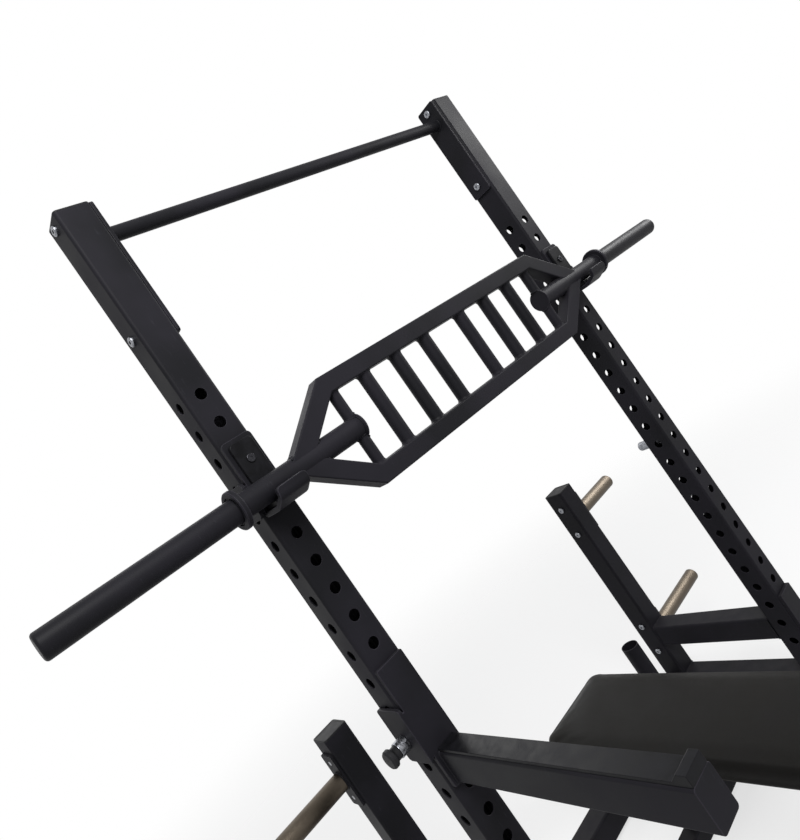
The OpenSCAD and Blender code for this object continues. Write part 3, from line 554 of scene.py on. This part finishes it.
# The belt's lines are about 0.1 mm apart; they are drawn at 0.9 mm so that they show.
lines = add(tree, "TexNoise", {"Scale": 1 / 0.0009, "Detail": 3.0, "Roughness": 0.7},
            {"Vector": brushed.outputs[0]})
stain = add(tree, "TexNoise", {"Scale": 1 / 0.05, "Detail": 4.0}, {"Vector": where})
stain = add(tree, "MapRange", {1: 0.4, 2: 0.7}, {0: stain.outputs[0]})
tone = add(tree, "Mix", {6: linear("#534c43"), 7: linear("#4c453d")}, {0: stain.outputs[0]}, data_type="RGBA")
gloss = add(tree, "MapRange", {1: 0.3, 2: 0.7, 3: 0.33, 4: 0.36}, {0: lines.outputs[0]})
cuts = add(tree, "Bump", {"Strength": 0.04, "Distance": 0.00005}, {"Height": lines.outputs[0]})
round_it = add(tree, "Tangent", direction_type="RADIAL", axis="X")
skin = add(tree, "BsdfPrincipled", {"Metallic": 1.0, "Anisotropic": 0.95},
           {"Base Color": tone.outputs[2], "Roughness": gloss.outputs[0], "Normal": cuts.outputs[0],
            "Tangent": round_it.outputs[0]})
add(tree, "OutputMaterial", links={"Surface": skin.outputs[0]})

peg_r, peg_rim, peg_plate_t = 0.024, 0.001, 0.008
plate_out = post_high.x + peg_plate_t
for side, s in (("left", -1), ("right", 1)):
    for row in ("upper", "lower"):
        peg = softened(f"{side}_{row}_peg", f"{side}_{row}_storage_peg", "rack",
                       satin_steel, satin_steel, width=peg_rim)
        peg.data.materials[1] = black_coat
        for face in peg.data.polygons:
            face.material_index = 1 if s * face.center.x < plate_out + hair else 0
weld("peg_welds", "rack", [ring((s * (plate_out + off_plate), post_y, z), north, up, peg_r + off_plate)
                           for s in (-1, 1) for z in peg_rows], bead)


# Bar holders and band pegs. Two 60 mm tubes stand welded on the rear cross tube to hold a stored bar,
# and a zinc-plated peg sits in the rear face of each upright for elastic bands.

holder_r, holder_lift = 0.03, 0.0006
holder_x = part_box("bar_holders")[1].x - holder_r
softened("bar_holders", "bar_holder_tubes", "rack", black_coat, rubbed_and_highlit_coat, width=0.0008)
weld("bar_holder_welds", "rack", [ring((s * holder_x, post_y, base_high.z + holder_lift), east, north,
                                       holder_r + off_plate) for s in (-1, 1)], bead)
softened("band_pegs", "band_peg_pair", "rack", zinc, zinc, width=0.002, segments=3)


# J-hooks. Each is one 10 mm steel strap bent into a cradle with a sloped toe and a low lip, with an ear
# that stops it turning and a pin through the upright's hole; bent, welded and powder coated.

def strap(line, width, thick, bend, corner):
    """A bent strap: one face drawn along a line of (y, z) points, its bends rounded, then thickened."""
    bpy.ops.object.select_all(action="DESELECT")
    bpy.ops.mesh.primitive_plane_add(size=1)
    bpy.ops.object.mode_set(mode="EDIT")
    shape = bmesh.from_edit_mesh(bpy.context.object.data)
    for corner_point in shape.verts:
        y, z = line[0] if corner_point.co.y > 0 else line[1]
        corner_point.co = (math.copysign(width / 2, corner_point.co.x), y, z)
    bmesh.update_edit_mesh(bpy.context.object.data)
    for (y0, z0), (y1, z1) in zip(line[1:], line[2:]):
        pick("EDGE", lambda e: abs(along(e).x) > 0.9
             and abs(middle(e).y - y0) + abs(middle(e).z - z0) < merge_gap)
        bpy.ops.mesh.extrude_region_move(TRANSFORM_OT_translate={"value": (0, y1 - y0, z1 - z0)})
    if bend:
        pick("EDGE", lambda e: abs(along(e).x) > 0.9 and len(e.link_faces) == 2)
        bpy.ops.mesh.bevel(offset=bend, segments=5, affect="EDGES")
    ends = Vector(line[0]), Vector(line[-1])
    pick("VERT", lambda v: min((v.co.yz - end).length for end in ends) < merge_gap)
    bpy.ops.mesh.bevel(offset=corner, segments=5, affect="VERTICES")
    bpy.ops.object.mode_set(mode="OBJECT")
    piece = bpy.context.object
    skin = piece.modifiers.new("thickness", "SOLIDIFY")
    skin.thickness, skin.offset, skin.use_even_offset = thick, 0, True
    bpy.ops.object.modifier_apply(modifier="thickness")
    bpy.ops.object.mode_set(mode="EDIT")
    bpy.ops.mesh.select_all(action="SELECT")
    bpy.ops.mesh.normals_make_consistent(inside=False)
    bpy.ops.object.mode_set(mode="OBJECT")
    return piece


def broken_edges(piece, finish, edge, width, segments=2, angle=40):
    """Rounds every sharp edge of a piece by a file's stroke, and gives the edges their own finish."""
    select_only(piece)
    piece.data.materials.append(finish)
    piece.data.materials.append(edge)
    # The bevel faces take the edge finish; on the coat that is the rubbed one, lighter as a painted edge
    # highlight.
    rim = piece.modifiers.new("rim", "BEVEL")
    rim.width, rim.segments, rim.use_clamp_overlap, rim.material = width, segments, False, 1
    rim.limit_method, rim.angle_limit = "ANGLE", math.radians(angle)
    bpy.ops.object.modifier_apply(modifier="rim")
    return piece


def block(low, high, corner=0.0, axis=0):
    """A rectangular plate between two corners, its corners rounded about one axis."""
    bpy.ops.object.select_all(action="DESELECT")
    bpy.ops.mesh.primitive_cube_add(size=1, location=[(a + b) / 2 for a, b in zip(low, high)])
    bpy.context.object.scale = [b - a for a, b in zip(low, high)]
    bpy.ops.object.transform_apply(location=True, rotation=True, scale=True)
    if corner:
        bpy.ops.object.mode_set(mode="EDIT")
        pick("EDGE", lambda e: abs(along(e)[axis]) > 0.9)
        bpy.ops.mesh.bevel(offset=corner, segments=6, affect="EDGES")
        bpy.ops.object.mode_set(mode="OBJECT")
    return bpy.context.object


hook_w, hook_t, hook_bend, hook_corner = 0.07, 0.01, 0.007, 0.009
hook_top, hook_floor, hook_z = 0.087, -0.069, mid_of("hook_pins").z
floor_end, toe_y, toe_z, lip_y, lip_z = -0.0665, -0.098, -0.0543, -0.1, -0.036
cradle_line = [(-hook_t / 2, hook_top), (-hook_t / 2, hook_floor), (floor_end, hook_floor),
               (toe_y, toe_z), (lip_y, lip_z)]
ear_low, ear_high, ear_corner = (0.038, -0.0098, hook_floor), (0.046, 0.072, 0.008), 0.011
web_low, web_high = (0.034, -0.0099, -0.06), (0.043, -0.0002, 0.0)


def hook_steel():
    """A right-hand hook about its pin: strap, ear on the outer side and the web between them."""
    cradle = broken_edges(strap(cradle_line, hook_w, hook_t, hook_bend, hook_corner),
                          black_coat, rubbed_and_highlit_coat, width=0.0014, segments=3)
    ear = broken_edges(block(ear_low, ear_high, ear_corner), black_coat, rubbed_and_highlit_coat, width=0.0012)
    web = broken_edges(block(web_low, web_high), black_coat, rubbed_and_highlit_coat, width=0.0012)
    select_only(cradle)
    ear.select_set(True)
    web.select_set(True)
    bpy.ops.object.join()
    return cradle


def mirrored_mesh(piece):
    """Turns a right-hand piece into a left-hand one, faces outwards."""
    select_only(piece)
    bpy.ops.object.mode_set(mode="EDIT")
    bpy.ops.mesh.select_all(action="SELECT")
    bpy.ops.transform.mirror(constraint_axis=(True, False, False), center_override=(0, 0, 0))
    bpy.ops.mesh.normals_make_consistent(inside=False)
    bpy.ops.object.mode_set(mode="OBJECT")
    return piece


for side, s in (("left", -1), ("right", 1)):
    hook = hook_steel()
    if s < 0:
        mirrored_mesh(hook)
    settle(placed(hook, [moved(s * rack_x, upright_low.y, hook_z)]), side + "_bent_hook", "rack",
           black_coat, [side + "_j_hook"])
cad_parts["hook_pins"].material_slots[0].material = black_coat


# Hook liners. Machined panels of black UHMW polyethylene keep the bar off the steel: a back panel and
# a floor slab in one, held by a button-head screw.

# UHMW polyethylene, planed: waxy and darker than the caps, a little smoother, with a coarser grain.
waxy_plastic = moulded_plastic("planed_uhmw_polyethylene", "#0c0c0e", "#151518", 0.38, 0.0035)

liner_w, liner_t, liner_top, liner_end, liner_screw_rise = 0.052, 0.01, 0.077, -0.064, 0.037
liner_back, liner_floor = -hook_t - liner_t / 2, hook_floor + liner_t
liner_line = [(liner_back, liner_top), (liner_back, liner_floor), (liner_end, liner_floor)]
for side, s in (("left", -1), ("right", 1)):
    panel = broken_edges(strap(liner_line, liner_w, liner_t, 0, hook_corner),
                         waxy_plastic, waxy_plastic, width=0.0016, segments=3)
    settle(placed(panel, [moved(s * rack_x, upright_low.y, hook_z)]), side + "_hook_pad", "rack",
           waxy_plastic, [side + "_hook_liner"])
# Black-passivated zinc: the same plate under a smoky film, so the screws barely show.
dark_zinc = plated_steel("black_passivated_zinc", "#2f2f32", "#3a3a3e")
settle(placed(button_screw(head=0.018, rise=0.003, socket=0.005, shank=0.008, length=0.012),
              [moved(s * rack_x, upright_low.y - hook_t - liner_t, hook_z + liner_screw_rise, (90, 0, 0))
               for s in (-1, 1)]),
       "hook_pad_screws", "rack", dark_zinc, ["hook_screws"], angle=30)


# Bar pipes. A 48 mm steel pipe on each side runs from the grip frame out through the hook; outside the
# welded collar it carries a 49 mm sleeve for the plates, closed by a pressed end cap.

for name in ("left_bar_pipe", "right_bar_pipe"):
    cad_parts[name].material_slots[0].material = black_coat
axis_y, axis_z = mid_of("bar_collars").y, mid_of("bar_collars").z
collar_out, collar_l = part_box("bar_collars")[1].x, 0.012
pipe_in, sleeve_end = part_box("right_bar_pipe")[0].x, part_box("right_bar_pipe")[1].x
softened("bar_collars", "bar_welded_collars", "bar", black_coat, rubbed_and_highlit_coat, width=0.0008)
softened("bar_discs", "pipe_end_discs", "bar", black_coat, rubbed_and_highlit_coat, width=0.001)

sleeve_r, cap_h, cap_rim = 0.0245, 0.008, 0.006
bpy.ops.object.select_all(action="DESELECT")
bpy.ops.mesh.primitive_cylinder_add(vertices=64, radius=sleeve_r, depth=cap_h, location=(0, 0, cap_h / 2))
bpy.ops.object.transform_apply(location=True, rotation=True, scale=True)
bpy.ops.object.mode_set(mode="EDIT")
pick("EDGE", lambda e: min(v.co.z for v in e.verts) > 0.9 * cap_h)
bpy.ops.mesh.bevel(offset=cap_rim, segments=6, affect="EDGES")
bpy.ops.object.mode_set(mode="OBJECT")
settle(placed(bpy.context.object,
              [moved(s * sleeve_end, axis_y, axis_z, (0, s * 90, 0)) for s in (-1, 1)]),
       "sleeve_end_caps", "bar", black_coat, ["sleeve_caps"], angle=40)


# Grip frame. Six lengths of 40 mm square tube, mitred, welded and ground flush into a long hexagon
# whose points are coped onto the pipes; its corners keep the tube's own rounding.

rail_low, rail_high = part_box("upper_rail")
rail_x, half_h, tube = rail_high.x, rail_high.z - axis_z, rail_high.z - rail_low.z
pipe_r, slant_l, rail_corner = 0.024, 0.138, 0.0035
lean = math.atan2(half_h - pipe_r, slant_l)
point_x = rail_x + half_h / math.tan(lean)
bpy.ops.object.select_all(action="DESELECT")
bpy.ops.mesh.primitive_circle_add(vertices=6, radius=1, fill_type="NGON")
bpy.ops.object.mode_set(mode="EDIT")
shape = bmesh.from_edit_mesh(bpy.context.object.data)
outline = [(point_x, 0), (rail_x, half_h), (-rail_x, half_h),
           (-point_x, 0), (-rail_x, -half_h), (rail_x, -half_h)]
corners = sorted(shape.verts, key=lambda v: math.atan2(v.co.y, v.co.x) % (math.tau - 0.01))
for corner, (x, z) in zip(corners, outline):
    corner.co = (x, z, 0)
bmesh.update_edit_mesh(bpy.context.object.data)
bpy.ops.mesh.select_all(action="SELECT")
bpy.ops.mesh.inset(thickness=tube, use_even_offset=True)
bpy.ops.mesh.delete(type="FACE")
bpy.ops.mesh.select_all(action="SELECT")
bpy.ops.mesh.extrude_region_move(TRANSFORM_OT_translate={"value": (0, 0, tube)})
bpy.ops.mesh.select_all(action="SELECT")
bpy.ops.mesh.normals_make_consistent(inside=False)
pick("EDGE", lambda e: abs(along(e).z) < 0.1 and e.calc_face_angle(0) > 1)
bpy.ops.mesh.bevel(offset=rail_corner, segments=4, affect="EDGES")
bpy.ops.object.mode_set(mode="OBJECT")
settle(placed(bpy.context.object, [moved(0, axis_y + tube / 2, axis_z, (90, 0, 0))]), "grip_frame", "bar",
       black_coat, ["upper_rail", "lower_rail", "left_slants", "right_slants"], angle=30)


# Grips and struts. Six 32 mm round grips stand between the rails, and at each end two short struts tie
# the pipe's end to the rails; every end has a weld under the coat.

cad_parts["bar_grips"].material_slots[0].material = black_coat
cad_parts["end_struts"].material_slots[0].material = black_coat


def fillet_weld(bar, reach_x, reach_y, rise):
    """A ground fillet round a bar that stands on z = 0: it leaves the bar and runs out flat."""
    bpy.ops.object.select_all(action="DESELECT")
    bpy.ops.mesh.primitive_circle_add(vertices=48, radius=bar, fill_type="NGON", location=(0, 0, rise))
    bpy.ops.object.transform_apply(location=True, rotation=True, scale=True)
    bpy.ops.object.mode_set(mode="EDIT")
    bpy.ops.mesh.select_all(action="SELECT")
    wide, deep, high, steps, buried = bar, bar, rise, 6, 0.0016
    for step in range(1, steps + 2):
        a = math.pi / 2 * min(step, steps) / steps
        to_x, to_y = bar + reach_x * (1 - math.cos(a)), bar + reach_y * (1 - math.cos(a))
        low = rise * (1 - math.sin(a)) if step <= steps else -buried
        bpy.ops.mesh.extrude_region_move(TRANSFORM_OT_translate={"value": (0, 0, low - high)})
        bpy.ops.transform.resize(value=(to_x / wide, to_y / deep, 1), center_override=(0, 0, low))
        wide, deep, high = to_x, to_y, low
    bpy.ops.mesh.select_all(action="SELECT")
    bpy.ops.mesh.normals_make_consistent(inside=False)
    bpy.ops.object.mode_set(mode="OBJECT")
    return bpy.context.object


grip_first, grip_pitch, grip_r, strut_x, strut_r = 0.0695, 0.101, 0.016, 0.364, 0.013
grip_x = [grip_first + i * grip_pitch for i in range(3)]
grip_reach, strut_reach, fillet_y, fillet_h, sunk = 0.008, 0.006, 0.002, 0.009, 0.0002
for name, bar, reach, places in (("grip_fillets", grip_r - sunk, grip_reach, grip_x),
                                 ("strut_fillets", strut_r - sunk, strut_reach, [strut_x])):
    settle(placed(fillet_weld(bar, reach, fillet_y, fillet_h),
                  [moved(s * x, axis_y, axis_z + z * (half_h - tube), (90 + 90 * z, 0, 0))
                   for x in places for s in (-1, 1) for z in (-1, 1)]),
           name, "bar", black_coat, angle=50)
# The struts' ends at the pipe: a bead runs on the pipe outside and steps up onto the disc's rim inside.
disc_r, saddle_steps, saddle_bead = 0.029, 64, 0.0024
saddles = []
for s in (-1, 1):
    for z in (-1, 1):
        line = []
        for i in range(saddle_steps):
            a = math.tau * i / saddle_steps
            x, y = strut_x + strut_r * math.cos(a), strut_r * math.sin(a)
            rise = math.sqrt((pipe_r if x > pipe_in else disc_r) ** 2 - y ** 2)
            line.append(Vector((s * x, axis_y + y, axis_z + z * rise)))
        saddles.append(line)
weld("strut_saddle_welds", "bar", saddles, saddle_bead)
rings, copes, cope_steps, cope_edge, cope_bead = [], [], 8, 0.003, 0.0036
for s in (-1, 1):
    rings.append(ring((s * (collar_out - collar_l - sunk), axis_y, axis_z), north, up, pipe_r + off_tube))
    rings.append(ring((s * (pipe_in + sunk), axis_y, axis_z), north, up, pipe_r + off_plate))
    # Coped ends of the slanted tubes: a bead over the pipe on each tube's outer and inner face.
    for z in (-1, 1):
        for depth in (0, tube):
            line = []
            for i in range(2 * cope_steps + 1):
                y = (tube / 2 - cope_edge) * (i / cope_steps - 1)
                rise = math.sqrt((pipe_r + sunk) ** 2 - y ** 2)
                x = rail_x - depth * math.tan(lean / 2) + (half_h - depth - rise) / math.tan(lean)
                line.append(Vector((s * x, axis_y + y, axis_z + z * rise)))
            copes.append(line)
weld("bar_ring_welds", "bar", rings, bead)
weld("bar_cope_welds", "bar", copes, cope_bead, closed=False)


# Safety arms. A rectangular tube welded to a plate with an ear and a locating pin; the arm hangs on the
# upright at any hole, and a planed plastic strip on top takes the bar.

housing_out, beam_corner, beam_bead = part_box("right_pin_housing")[1].x, 0.006, 0.003
for side in ("left", "right"):
    body = side + "_arm"
    beam, (beam_low, beam_high) = mid_of(side + "_arm_tube"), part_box(side + "_arm_tube")
    softened(side + "_arm_bracket", side + "_arm_plate", body, black_coat,
             rubbed_and_highlit_coat, width=0.0012)
    softened(side + "_arm_tube", side + "_arm_beam", body, black_coat,
             rubbed_and_highlit_coat, width=0.001)
    softened(side + "_arm_strip", side + "_arm_wear_strip", body, waxy_plastic,
             waxy_plastic, width=0.001)
    softened(side + "_pin_housing", side + "_pin_collar", body, zinc, zinc, width=0.001)
    weld(side + "_arm_welds", body,
         [tube_loop((beam.x, beam_high.y - off_tube, beam.z), east, up, beam_high.x - beam_low.x + off_tube,
                    beam_high.z - beam_low.z + off_tube, beam_corner)], beam_bead)


# Pull pins. A zinc-plated 16 mm pin runs through each arm's housing into the upright, drawn by a
# waisted knob of moulded plastic.

for side, s in (("left", -1), ("right", 1)):
    pin = softened(side + "_pull_pin", side + "_lock_pin", side + "_pin", black_plastic,
                   black_plastic, width=0.0008)
    pin.data.materials[1] = zinc
    for face in pin.data.polygons:
        face.material_index = 1 if s * face.center.x < housing_out else 0


# Bench frame. A 50 x 75 mm spine on two legs with cross feet, welded square tube, powder coated; two
# flat brackets under the board take the screws, and rubber pucks sit under the feet.

leg_low, leg_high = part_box("bench_legs")
leg_w, leg_corner, leg_bead, puck_r = 0.05, 0.006, 0.0025, 0.021
leg_rows = (leg_high.y - leg_w / 2, leg_low.y + leg_w / 2)
puck_x, puck_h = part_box("bench_feet")[1].x - puck_r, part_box("bench_feet")[1].z
for name in ("bench_spine", "bench_legs", "bench_foot_tubes"):
    softened(name, name.replace("bench", "bench_welded"), "bench", black_coat,
             rubbed_and_highlit_coat, width=0.0008)
softened("bench_brackets", "bench_flat_brackets", "bench", black_coat,
         rubbed_and_highlit_coat, width=0.0009)
joints = []
for y in leg_rows:
    for z in (leg_low.z + sunk, leg_high.z - sunk):
        joints.append(tube_loop((0, y, z), east, north, leg_w + off_tube, leg_w + off_tube, leg_corner))
weld("bench_welds", "bench", joints, leg_bead)
settle(placed(rubber_foot(puck_r, puck_h), [moved(s * puck_x, y, 0) for s in (-1, 1) for y in leg_rows]),
       "bench_rubber_feet", "bench", rubber, ["bench_feet"])


# Bench board. A sheet of 15 mm birch plywood, sawn to the pad's outline and stained black; the cover is
# stapled to its underside, so only its edge shows.

# Black-stained birch ply: the plies show at the edge as thin bands, paler where the glue took no stain.
plywood, tree, where = new_finish("black_stained_birch_plywood")
plies = add(tree, "Mapping", {"Scale": (0.02, 0.02, 1.0)}, {"Vector": where})
plies = add(tree, "TexWave", {"Scale": 1 / 0.0028 / math.tau, "Distortion": 0.6, "Detail": 2.0},
            {"Vector": plies.outputs[0]}, bands_direction="Z")
fibres = add(tree, "Mapping", {"Scale": (1.0, 0.08, 1.0)}, {"Vector": where})
fibres = add(tree, "TexNoise", {"Scale": 1 / 0.002, "Detail": 4.0}, {"Vector": fibres.outputs[0]})
tone = add(tree, "Mix", {6: linear("#131110"), 7: linear("#2b2623")}, {0: plies.outputs[1]}, data_type="RGBA")
tone = add(tree, "Mix", {0: 0.35, 7: linear("#2a2522")}, {6: tone.outputs[2]}, data_type="RGBA")
rasp = add(tree, "Bump", {"Strength": 0.4, "Distance": 0.0003}, {"Height": fibres.outputs[0]})
matt = add(tree, "MapRange", {3: 0.55, 4: 0.8}, {0: fibres.outputs[0]})
skin = add(tree, "BsdfPrincipled", {"Specular IOR Level": 0.15},
           {"Base Color": tone.outputs[2], "Roughness": matt.outputs[0], "Normal": rasp.outputs[0]})
add(tree, "OutputMaterial", links={"Surface": skin.outputs[0]})
softened("bench_board", "bench_plywood_board", "bench", plywood, plywood, width=0.001)


# Bench pad. A slab of dense foam on the board under black vinyl, pulled tight over the edges and
# stapled beneath: a low crown, drawn-in sides and small gathers at the four corners.

# Upholstery vinyl: an embossed leather grain of small cells, a soft plastic sheen, worn smoother in places.
vinyl, tree, where = new_finish("black_upholstery_vinyl")
# The embossed cells are about 0.8 mm; they are drawn at 2 mm so that they show.
cells = add(tree, "TexVoronoi", {"Scale": 1 / 0.002, "Randomness": 0.9}, {"Vector": where},
            feature="DISTANCE_TO_EDGE")
cells = add(tree, "MapRange", {1: 0.0, 2: 0.22}, {0: cells.outputs["Distance"]})
worn = add(tree, "TexNoise", {"Scale": 1 / 0.18, "Detail": 3.0}, {"Vector": where})
worn = add(tree, "MapRange", {1: 0.35, 2: 0.65}, {0: worn.outputs[0]})
tone = add(tree, "Mix", {6: linear("#121110"), 7: linear("#191816")}, {0: worn.outputs[0]}, data_type="RGBA")
# The grain's valleys are darkened at the cell edges: painted shade in the creases between the cells.
crease_shade = add(tree, "MapRange", {3: 0.45, 4: 0.0}, {0: cells.outputs[0]})
tone = add(tree, "Mix", {7: linear("#0f0e0e")}, {0: crease_shade.outputs[0], 6: tone.outputs[2]}, data_type="RGBA")
grain = add(tree, "Bump", {"Strength": 0.45, "Distance": 0.0003}, {"Height": cells.outputs[0]})
gloss = add(tree, "MapRange", {3: 0.44, 4: 0.58}, {0: worn.outputs[0]})
skin = add(tree, "BsdfPrincipled", {"Specular IOR Level": 0.08},
           {"Base Color": tone.outputs[2], "Roughness": gloss.outputs[0], "Normal": grain.outputs[0]})
add(tree, "OutputMaterial", links={"Surface": skin.outputs[0]})

cover_stretch, cover_grid, staple_band = (1.012, 1.004, 1.0), 0.006, 0.007
cover_give, cover_frames = 0.005, 20
pad_corner, gather_h, gather_folds, gather_depth = 0.045, 0.032, 36, 0.0009
pad = bpy.data.objects.new("bench_cushion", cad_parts["bench_pad"].data.copy())
bpy.context.scene.collection.objects.link(pad)
select_only(pad)
pad.data.materials.clear()
bpy.ops.mesh.customdata_custom_splitnormals_clear()
pad_low, pad_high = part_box("bench_pad")
pad_mid = mid_of("bench_pad")
pad_mid.z = pad_low.z
straight = pad_high - pad_mid - Vector((pad_corner, pad_corner, 0))
bpy.ops.object.mode_set(mode="EDIT")
bpy.ops.mesh.select_all(action="SELECT")
bpy.ops.mesh.remove_doubles(threshold=merge_gap)
bpy.ops.transform.resize(value=cover_stretch, center_override=pad_mid)
bpy.ops.object.mode_set(mode="OBJECT")
pad.data.remesh_voxel_size = cover_grid
bpy.ops.object.voxel_remesh()
start = [v.co.copy() for v in pad.data.vertices]
held = pad.vertex_groups.new(name="stapled")
held.add([v.index for v in pad.data.vertices if v.co.z < pad_low.z + staple_band], 1.0, "REPLACE")
cloth = pad.modifiers.new("cover", "CLOTH")
cloth.settings.quality = 5
cloth.settings.mass = 0.4
cloth.settings.tension_stiffness = cloth.settings.compression_stiffness = 25
cloth.settings.bending_stiffness = 2
cloth.settings.use_pressure = True
cloth.settings.uniform_pressure_force = 4
cloth.settings.effector_weights.gravity = 0
cloth.settings.vertex_group_mass = "stapled"
for step in range(1, cover_frames + 1):
    bpy.context.scene.frame_set(step)
bpy.ops.object.modifier_apply(modifier="cover")
bpy.context.scene.frame_set(1)
for v, was in zip(pad.data.vertices, start):
    push = v.co - was
    if push.length > cover_give:
        v.co = was + push * (cover_give / push.length)
bpy.ops.object.mode_set(mode="EDIT")
bpy.ops.mesh.select_all(action="SELECT")
bpy.ops.mesh.vertices_smooth(factor=0.5, repeat=3)
bpy.ops.object.mode_set(mode="OBJECT")
fine = pad.modifiers.new("fine", "SUBSURF")
fine.levels = fine.render_levels = 1
bpy.ops.object.modifier_apply(modifier="fine")
# Gathers fan out from under each corner and die away up the side.
for v in pad.data.vertices:
    off = v.co - pad_mid
    dx, dy = abs(off.x) - straight.x, abs(off.y) - straight.y
    if dx > 0 and dy > 0:
        turn = math.atan2(dy, dx)
        low = max(0.0, 1 - off.z / gather_h)
        fan = math.sin(2 * turn) ** 2 * math.sin(turn * gather_folds) * low * gather_depth
        out = Vector((math.copysign(dx, off.x), math.copysign(dy, off.y), 0))
        v.co += out.normalized() * fan
settle(pad, "bench_cushion", "bench", vinyl, ["bench_pad"], angle=60)
